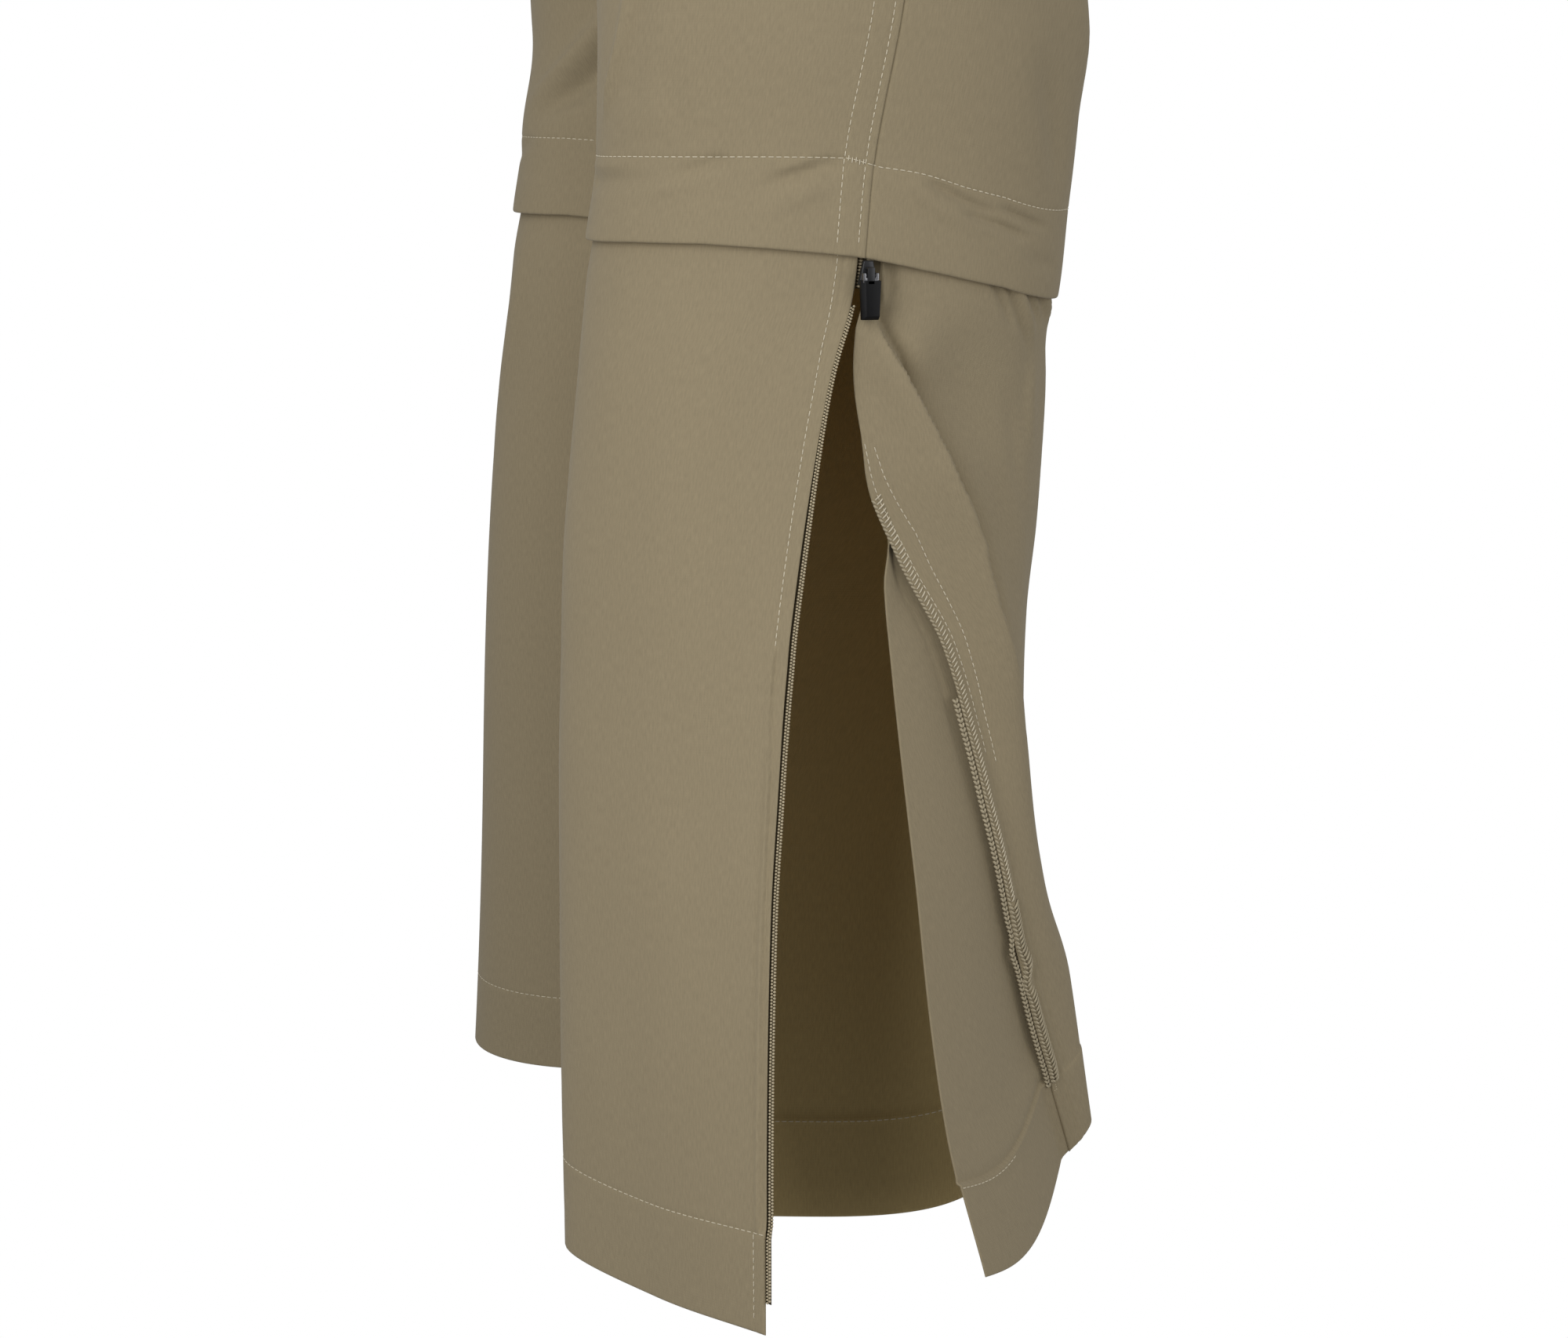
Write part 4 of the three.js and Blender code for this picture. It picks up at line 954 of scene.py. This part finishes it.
for label, side in sides:
    lines = [lineAcross(cloths[f"{panel}_cloth_{label}"], lowerTop - legHeights[label] + hemBand,
                        0.03, 0.99, -hemInside) for panel in ("shin", "calf")]
    sewRows(f"hem_stitches_inside_{label}", [(points, -normals) for points, normals in lines])
    tackRows = [outseamRows[0] + 1 + k * 1.5 for k in range(5)]
    sewRows(f"bartack_{label}",
            [lineThrough(cloths[f"front_leg_cloth_{label}"],
                         [(at, flapTop + 1.6 - k % 2 * 0.5), (at, flapTop - 1.8)], 0.12, 0.5)
             for k, at in enumerate(tackRows)], 2.9)
sewRows("underlap_stitches",
        [lineAcross(cloths["underlap_cloth_left"], lowerTop - lowerHeight + hemBand - 1.8, 0.5, 1.0)])


# Overlocked edge of the rear panel: pale threads over the edge, a chain along it, and lower down
# the looser chain of the layer under it
overlock = {"pitch": 1.05, "first": 1.3, "last": 4.9, "top": -694, "bottom": -973, "slant": (1.5, 3.0),
            "wide": 0.33, "arch": (0.5, 2.0)}
braid = {"from": -866, "point": 1.9, "inner": 4.9, "fall": 1.7, "wide": 0.6, "rise": 0.9}
looseChain = {"pitch": 2.2, "past": 1.35, "out": -0.8, "half": 1.1, "wide": 0.62, "top": -783, "bottom": -974}


def addThread(parts, start, end, normal, wide, rise):
    run = end - start
    half = np.linalg.norm(run) / 2
    shape = [(half * along, rise * lift, wide * size, wide * size * 0.8) for along, lift, size in
             ((-1, -0.4, 0.6), (-0.6, 0.6, 1), (0, 1, 1), (0.6, 0.6, 1), (1, -0.4, 0.6))]
    beadRow(parts, [(start + end) / 2], [run / (2 * half)], [normal], shape, sides=5)


def wiggle(z):  # the cord bulges to one side and back, once
    return 1.3 * math.exp(-((z + 896) / 5) ** 2) - 1.2 * math.exp(-((z + 905) / 5) ** 2)


def addOverlock():
    calf = cloths["calf_cloth_left"]
    outer = evenly(lineDown(calf, overlock["first"], overlock["top"], overlock["bottom"]), overlock["pitch"])
    innerLine = lineDown(calf, overlock["last"], overlock["top"], overlock["bottom"])[0]
    threads, loops = newParts(), newParts()
    for k, (start, heading, normal) in enumerate(zip(*outer)):
        nearest = innerLine[int(np.argmin(np.linalg.norm(innerLine - start, axis=1)))]
        low = float(smoothStep(-700, -820, start[2]))
        slant = np.interp(low, (0, 1), overlock["slant"])
        aside = np.cross(normal, heading)
        aside *= np.sign((nearest - start) @ aside)
        across = (nearest - start) @ aside
        lift = normal * ((nearest - start) @ normal)
        start = start + aside * wiggle(start[2])
        if k % 2 == 1:
            edge = start - aside * overlock["first"] * 0.95
            addThread(loops, edge - heading * 1.4, start + heading * 0.6, normal, 0.5, 0.3)
        elif start[2] > braid["from"]:
            end = start + aside * across * (1 - 0.15 * low) - heading * slant + lift
            rolled = smoothStep(-700, -790, start[2])  # the threads arch over the rolled edge
            arch = np.interp(rolled, (0, 1), overlock["arch"])
            addThread(threads, start, end, normal, overlock["wide"], arch)
        else:
            point = start + aside * (braid["point"] - overlock["first"]) + heading * 1.2 + normal * 0.5
            inner = point + aside * (braid["inner"] - braid["point"]) - heading * (braid["fall"] + 1.0)
            outerEnd = point - aside * (braid["point"] - 0.3) - heading * braid["fall"] - normal * 0.7
            addThread(loops, point, inner + lift - normal * 0.5, normal, braid["wide"], braid["rise"])
            addThread(loops, point, outerEnd, normal, braid["wide"], braid["rise"] * 0.7)
    finishParts("overlock_threads", threads, "thread")
    finishParts("overlock_chain", loops, "overlock")
    z = np.arange(looseChain["top"], looseChain["bottom"], -1.0)
    edge, past, normal = edgeFrame(calf, z)
    shift = np.array([[wiggle(height - 2)] for height in z])
    line = edge + past * (looseChain["past"] - 0.6 * shift) + normal * looseChain["out"]
    cord = newParts()
    for place, heading, normal in zip(*evenly((line, normal), looseChain["pitch"])):
        aside = np.cross(normal, heading) * looseChain["half"]
        for way in (-1, 1):
            addThread(cord, place + aside * way - heading * 1.1, place + heading * 1.1, normal,
                      looseChain["wide"], 0.4)
    finishParts("loose_chain", cord, "overlock")


addOverlock()
print("sewing done")

# Waistband: one strip whose ends lap at the centre front
band = {"top": 20, "bottom": -20, "wall": 2.0, "lap": 0.14, "lapWidth": 17, "under": -2.6, "seam": 2.4,
        "columns": 210}


def waistbandPoint(across, z):
    travel = np.broadcast_to(across * (4 + 2 * band["lap"]) - band["lap"],
                             np.broadcast_shapes(across.shape, z.shape))
    quarters = [closedPoint(side, face, np.clip(turn, 0, 1), z) for side, face, turn in
                ((1, "front", 1 - travel), (1, "back", travel - 1),
                 (-1, "back", 3 - travel), (-1, "front", travel - 3))]
    points = quarters[3]
    for k in (2, 1, 0):
        points = np.where((travel < k + 1)[..., None], quarters[k], points)
    past = np.where(travel < 0, travel, np.maximum(travel - 4, 0)) / band["lap"] * band["lapWidth"]
    points[..., 0] = np.where((travel < 0) | (travel > 4), past, points[..., 0])
    return points


def addWaistband():
    seams = (band["top"] - band["seam"], band["bottom"] + band["seam"])
    z = heightsBetween(band["top"], band["bottom"], 4.0, lines=seams)
    dense = waistbandPoint(np.linspace(0, 1, 901)[None], z[:, None])
    points, aside, z = spreadColumns(dense, z, band["columns"])
    moved = band["under"] * (1 - smoothStep(0.03, 0.07, aside / aside[:, -1:]))
    ripple = np.sin(aside / 9.0) + np.sin(aside / 5.7 + 1.0) * 0.7
    moved += 0.16 * ripple * np.exp(-((np.abs(z) - 15) / 5) ** 2) + lineGroove(np.abs(z) - seams[0])
    cloth = clothPiece("waistband_cloth", ("waistband",), points, aside, z, True, band["wall"], moved)
    end = aside[0, -1]
    sewRows("waistband_stitches", [*(lineAcross(cloth, seam) for seam in seams),
                                   lineDown(cloth, end - band["seam"], band["top"] - 3, band["bottom"] + 3)])
    middle = end - band["lapWidth"]
    hole = [(middle + 11.5 * math.cos(a), 1.7 * math.sin(a)) for a in np.linspace(0, 2 * math.pi, 41)]
    sewRows("buttonhole_stitches", [lineThrough(cloth, hole, 0.05, 0.7)], 0.75,
            [(-0.32, 0, 0.3, 0.2), (0, 0.12, 0.7, 0.35), (0.32, 0, 0.3, 0.2)])


# Fly: a shield behind the centre front and its curved row of stitches on the left front
fly = {"share": 0.17, "top": -24, "length": 140, "wall": 0.9, "under": -1.7,
       "stitches": [(35, -22.5), (35, -146), (33, -158), (27, -168), (18, -175), (8, -180), (1.5, -184)]}


def addFly():
    z = heightsBetween(fly["top"], fly["top"] - fly["length"], 5.0)
    across = np.linspace(0, 1, 201)
    turn = 1 - fly["share"] * np.abs(1 - 2 * across)[None]
    left, right = [closedPoint(side, "front", turn, z[:, None]) for side in (1, -1)]
    dense = np.where((across < 0.5)[None, :, None], right, left)
    points, aside, z = spreadColumns(dense, z, 30)
    clothPiece("fly_shield_cloth", ("fly_shield",), points, aside, z, True, fly["wall"],
               np.full(aside.shape, fly["under"]))
    front = cloths["front_leg_cloth_left"]
    path = []
    for x, height in fly["stitches"]:
        row = int(np.argmin(np.abs(front["z"][:, 0] - height)))
        path.append((float(np.interp(-x, -front["points"][row, :, 0], front["aside"][row])), height))
    sewRows("fly_stitches", [lineThrough(front, path, 0.0, 2.0)])


addWaistband()
addFly()
print("waistband and fly done")

# Closed zips: tape with its coil, under the right leg's side seam, above the slider and round each knee
closedZip = {"aside": (-7, -6.7, -3.5, -1.3, 0, 1.3, 3.5, 6.7, 7), "under": -2.5, "wall": 0.7, "coil": 0.5,
             "panelWidth": 250, "step": 4.0,
             "shape": [(-0.52, 0, 0.5, 0.3), (-0.2, 0, 1.25, 0.75), (0.2, 0, 1.25, 0.75),
                       (0.52, 0, 0.5, 0.3)]}
kneeZip = {"top": -557, "height": 8.4, "under": -3.2, "columns": 150}


def addClosedZip(name, node, side, top, bottom):
    spots = np.array(closedZip["aside"], float)
    z = np.arange(top, bottom - 0.1, -closedZip["step"])
    turns = np.abs(spots) / closedZip["panelWidth"]
    points = np.stack([closedPoint(side, "back" if spot < 0 else "front", turn, z)
                       for spot, turn in zip(spots, turns)], axis=1)
    aside = np.repeat(spots[None] - spots[0], len(z), 0)
    z = np.repeat(z[:, None], len(spots), 1)
    tape = clothPiece(f"{name}_tape", (node,), points, aside, z, side == -1, closedZip["wall"],
                      closedZip["under"] + tucked(z), look="tape")
    parts = newParts()
    line = lineDown(tape, aside[0, -1] / 2, top, bottom, closedZip["coil"])
    beadRow(parts, *evenly(line, coilBead["pitch"]), closedZip["shape"])
    finishParts(f"{name}_coil", parts, "coil")


def addKneeZip(label, side):
    z = kneeZip["top"] - kneeZip["height"] * np.array([0, 0.25, 0.5, 0.75, 1])
    across = np.linspace(0, 1, 401)
    turn = np.abs(1 - 2 * across)[None]
    back, front = [closedPoint(side, face, turn, z[:, None]) for face in ("back", "front")]
    dense = np.where((across < 0.5)[None, :, None], back, front)
    points, aside, z = spreadColumns(dense, z, kneeZip["columns"])
    tape = clothPiece(f"knee_zip_{label}_tape", (f"knee_zip_{label}",), points, aside, z, side == -1,
                      closedZip["wall"], np.full(aside.shape, kneeZip["under"]), look="tape")
    parts = newParts()
    points, normals = lineAcross(tape, kneeZip["top"] - kneeZip["height"] / 2, out=-closedZip["wall"] - 0.5)
    beadRow(parts, *evenly((points, -normals), coilBead["pitch"]), closedZip["shape"])
    finishParts(f"knee_zip_{label}_coil", parts, "coil")


addClosedZip("side_zip_right", "side_zip_right", -1, lowerTop - 2, lowerTop - rightLowerHeight + 14)
addClosedZip("side_zip_top", "side_zip_top_left", 1, lowerTop - 2, -606)
for label, side in sides:
    addKneeZip(label, side)
print("closed zips done")

# Sliders and pull tabs: x is away from the leg, and the pull's pin is at z = 0
sliderBody = {"reach": 3.0, "width": 8.0, "top": 6.0, "bottom": -4.0, "nose": 0.55}
sliderBail = {"reach": 7.3, "width": 3.0, "half": 3.4, "bar": 0.9}
pullTab = {"pin": 5.4, "thick": 3.8, "width": 8.0, "top": 1.2, "bottom": -17.5, "slot": 3.8, "neck": -1.8,
           "narrow": 0.86}
hardwarePlaces = {"left": (1, 158.55, 4.2, -598.5), "right": (-1, 198.717, -36.0, -988.0)}


def block(name, low, high):  # a box between two corners, in millimetres
    size = [(b - a) * mm for a, b in zip(low, high)]
    middle = [(a + b) / 2 * mm for a, b in zip(low, high)]
    bpy.ops.mesh.primitive_cube_add(size=1, location=middle, scale=size)
    piece = bpy.context.object
    piece.name = name
    bpy.ops.object.transform_apply(location=True, rotation=True, scale=True)
    return piece


def disc(radius, depth, x, y, z, vertices=48):
    bpy.ops.mesh.primitive_cylinder_add(vertices=vertices, radius=radius * mm, depth=depth * mm,
                                        location=(x * mm, y * mm, z * mm), rotation=(math.pi / 2, 0, 0))
    bpy.ops.object.transform_apply(location=True, rotation=True, scale=True)
    return bpy.context.object


def pickOnly(piece, *others):
    bpy.ops.object.select_all(action="DESELECT")
    for each in (piece, *others):
        each.select_set(True)
    bpy.context.view_layer.objects.active = piece


def useModifier(piece, kind, **values):
    bpy.context.view_layer.objects.active = piece
    modifier = piece.modifiers.new(kind.lower(), kind)
    for key, value in values.items():
        setattr(modifier, key, value)
    bpy.ops.object.modifier_apply(modifier=modifier.name)


def roundEdges(piece, width, segments):
    useModifier(piece, "BEVEL", width=width * mm, segments=segments, limit_method="ANGLE")


def cutAway(piece, tool):
    useModifier(piece, "BOOLEAN", object=tool, operation="DIFFERENCE", solver="EXACT")
    bpy.data.objects.remove(tool)


def pinch(piece, chosen, factors):  # scales the points that are chosen about their own middle
    points = [v for v in piece.data.vertices if chosen(v.co / mm)]
    middle = sum((v.co for v in points), Vector()) / len(points)
    for v in points:
        v.co = Vector(middle[k] + (v.co[k] - middle[k]) * factors[k] for k in range(3))


def joinPieces(name, *pieces):
    pickOnly(*pieces)
    bpy.ops.object.join()
    pieces[0].name = name
    return pieces[0]


def setOnLeg(piece, side, reach, y, z):
    # The hardware is made for the left leg and turned half round for the right one
    for v in piece.data.vertices:
        v.co = Vector((side * (v.co.x + reach * mm), side * v.co.y + y * mm, v.co.z + z * mm))
    pickOnly(piece)
    bpy.ops.object.shade_smooth_by_angle(angle=math.radians(40))
    piece.select_set(False)


def addSlider(label):
    half = sliderBody["width"] / 2
    body = block("slider_plate", (0, -half, sliderBody["bottom"]),
                 (sliderBody["reach"], half, sliderBody["top"]))
    roundEdges(body, 0.9, 3)
    pinch(body, lambda co: co.z > sliderBody["top"] - 1.2, (1, sliderBody["nose"], 1))
    low = sliderBody["reach"] - 0.4
    wide, tall, bar = sliderBail["width"] / 2, sliderBail["half"], sliderBail["bar"]
    bail = block("slider_bail", (low, -wide, -tall), (sliderBail["reach"], wide, tall))
    cutAway(bail, block("bail_window", (low - 1, -wide - 1, -tall + bar),
                        (sliderBail["reach"] - bar, wide + 1, tall - bar)))
    roundEdges(bail, 0.3, 2)
    piece = joinPieces(f"zip_slider_{label}", body, bail)
    setOnLeg(piece, *hardwarePlaces[label])
    dress(piece, "slider", nodes=(f"slider_{label}",))


def bevelEdges(piece, chosen, width, segments=1):  # bevels the edges whose middles are chosen
    pickOnly(piece)
    points = piece.data.vertices
    for thing in (*piece.data.polygons, *piece.data.edges, *points):
        thing.select = False
    for edge in piece.data.edges:
        edge.select = chosen((points[edge.vertices[0]].co + points[edge.vertices[1]].co) / 2 / mm)
    bpy.ops.object.mode_set(mode="EDIT")
    bpy.ops.mesh.select_mode(type="EDGE")
    bpy.ops.mesh.bevel(offset=width * mm, segments=segments, affect="EDGES")
    bpy.ops.object.mode_set(mode="OBJECT")


def addPull(label):
    pin, thick, wide = pullTab["pin"], pullTab["thick"] / 2, pullTab["width"] / 2
    front, low, neck = pin + thick, pullTab["bottom"], pullTab["neck"]
    tab = block("pull_body", (pin - thick, -wide, low), (front, wide, neck))
    pinch(tab, lambda co: co.z < low + 0.1, (1, pullTab["narrow"], 1))
    bevelEdges(tab, lambda co: co.x > front - 0.1 and co.y < -wide * pullTab["narrow"] + 0.1, 1.6)
    bevelEdges(tab, lambda co: co.x > front - 0.1 and co.z < low + 0.1, 1.5)
    roundEdges(tab, 0.32, 3)
    tab.name = f"pull_tab_{label}"
    setOnLeg(tab, *hardwarePlaces[label])
    dress(tab, "pull", body=f"pull_{label}", nodes=(f"pull_{label}",))
    link = block("pull_link", (pin - thick + 0.6, -wide + 0.7, neck - 1),
                 (front - 0.5, wide - 0.7, pullTab["top"]))
    slot = pullTab["slot"] / 2 + 0.1
    cutAway(link, block("pull_slot", (pin - 4, -slot, neck + 1.2), (pin + 4, slot, pullTab["top"])))
    roundEdges(link, 0.35, 2)
    link = joinPieces(f"pull_link_{label}", link, disc(0.7, pullTab["width"] - 2, pin, 0, 0, 16))
    setOnLeg(link, *hardwarePlaces[label])
    dress(link, "link", body=f"pull_{label}")


for label, side in sides:
    addSlider(label)
    addPull(label)
print("sliders and pulls done")

# Waist button: a dished disc with a rim and four holes, sewn on with a cross of thread
waistButton = {"radius": 8.5, "thick": 3.0, "y": -112.7, "dish": 6.3, "deep": 1.1, "hole": 1.0, "spread": 1.9}


def addButton():
    thick, y, spread = waistButton["thick"], waistButton["y"], waistButton["spread"]
    face = y - thick / 2
    button = disc(waistButton["radius"], thick, 0, y, 0)
    cutAway(button, disc(waistButton["dish"], 2 * waistButton["deep"], 0, face, 0))
    spots = [(x * spread, z * spread) for x, z in ((-1, -1), (1, -1), (1, 1), (-1, 1))]
    for x, z in spots:
        cutAway(button, disc(waistButton["hole"], thick * 3, x, y, z, 16))
    roundEdges(button, 0.4, 3)
    button.name = "button_disc"
    setOnLeg(button, 1, 0, 0, 0)
    dress(button, "button", nodes=("waist_button",))
    parts = newParts()
    for spot in (0, 1):
        ends = [np.array((x, face + waistButton["deep"], z)) for x, z in (spots[spot], spots[spot + 2])]
        addThread(parts, *ends, np.array((0, -1.0, 0)), 0.5, 0.5)
    finishParts("button_thread", parts, "thread")


addButton()
print("button done")

# Stage and light
floorPlace = {"size": 14.0, "height": -1.16}
studioLight = {
    "around": 0.43,
    "below": 0.26,
    "lamps": [
        {"place": (0.72, -0.68, -0.34), "aim": (0.1, 0.0, -0.56), "width": 0.5, "height": 1.3, "power": 5.7},
        {"place": (1.15, 0.80, -0.55), "aim": (0.1, 0.0, -0.75), "width": 0.7, "height": 1.7, "power": 6.1},
    ],
}


def whiteWhenSeen(nodes, links, strength):  # the studio is seen white but lights the cloth less
    seen = nodes.new("ShaderNodeLightPath").outputs["Is Camera Ray"]
    return mapRange(nodes, links, seen, (0.0, 1.0, strength, 1.0))


def addStage():
    bpy.ops.mesh.primitive_plane_add(size=floorPlace["size"], location=(0, 0, floorPlace["height"]))
    floor = bpy.context.object
    floor.name = "studio_floor"
    material = bpy.data.materials.new("studioFloor")
    material.use_nodes = True
    nodes, links = material.node_tree.nodes, material.node_tree.links
    nodes.clear()
    glow = nodes.new("ShaderNodeEmission")
    glow.inputs["Color"].default_value = (1, 1, 1, 1)
    links.new(whiteWhenSeen(nodes, links, studioLight["below"]), glow.inputs["Strength"])
    output = nodes.new("ShaderNodeOutputMaterial")
    links.new(glow.outputs["Emission"], output.inputs["Surface"])
    floor.data.materials.append(material)


def addLights():
    world = bpy.data.worlds.new("studio")
    bpy.context.scene.world = world
    world.use_nodes = True
    nodes, links = world.node_tree.nodes, world.node_tree.links
    ground = nodes["Background"]
    ground.inputs["Color"].default_value = (1, 1, 1, 1)
    links.new(whiteWhenSeen(nodes, links, studioLight["around"]), ground.inputs["Strength"])
    for lamp in studioLight["lamps"]:
        data = bpy.data.lights.new("softbox", "AREA")
        data.shape = "RECTANGLE"
        data.size = lamp["width"]
        data.size_y = lamp["height"]
        data.energy = lamp["power"]
        light = bpy.data.objects.new("softbox", data)
        light.location = lamp["place"]
        light.visible_camera = False
        aim = Vector(lamp["aim"]) - Vector(lamp["place"])
        light.rotation_euler = aim.to_track_quat("-Z", "Y").to_euler()
        bpy.context.scene.collection.objects.link(light)


addStage()
addLights()
bpy.context.scene.view_settings.view_transform = "Standard"
print("stage and light done")
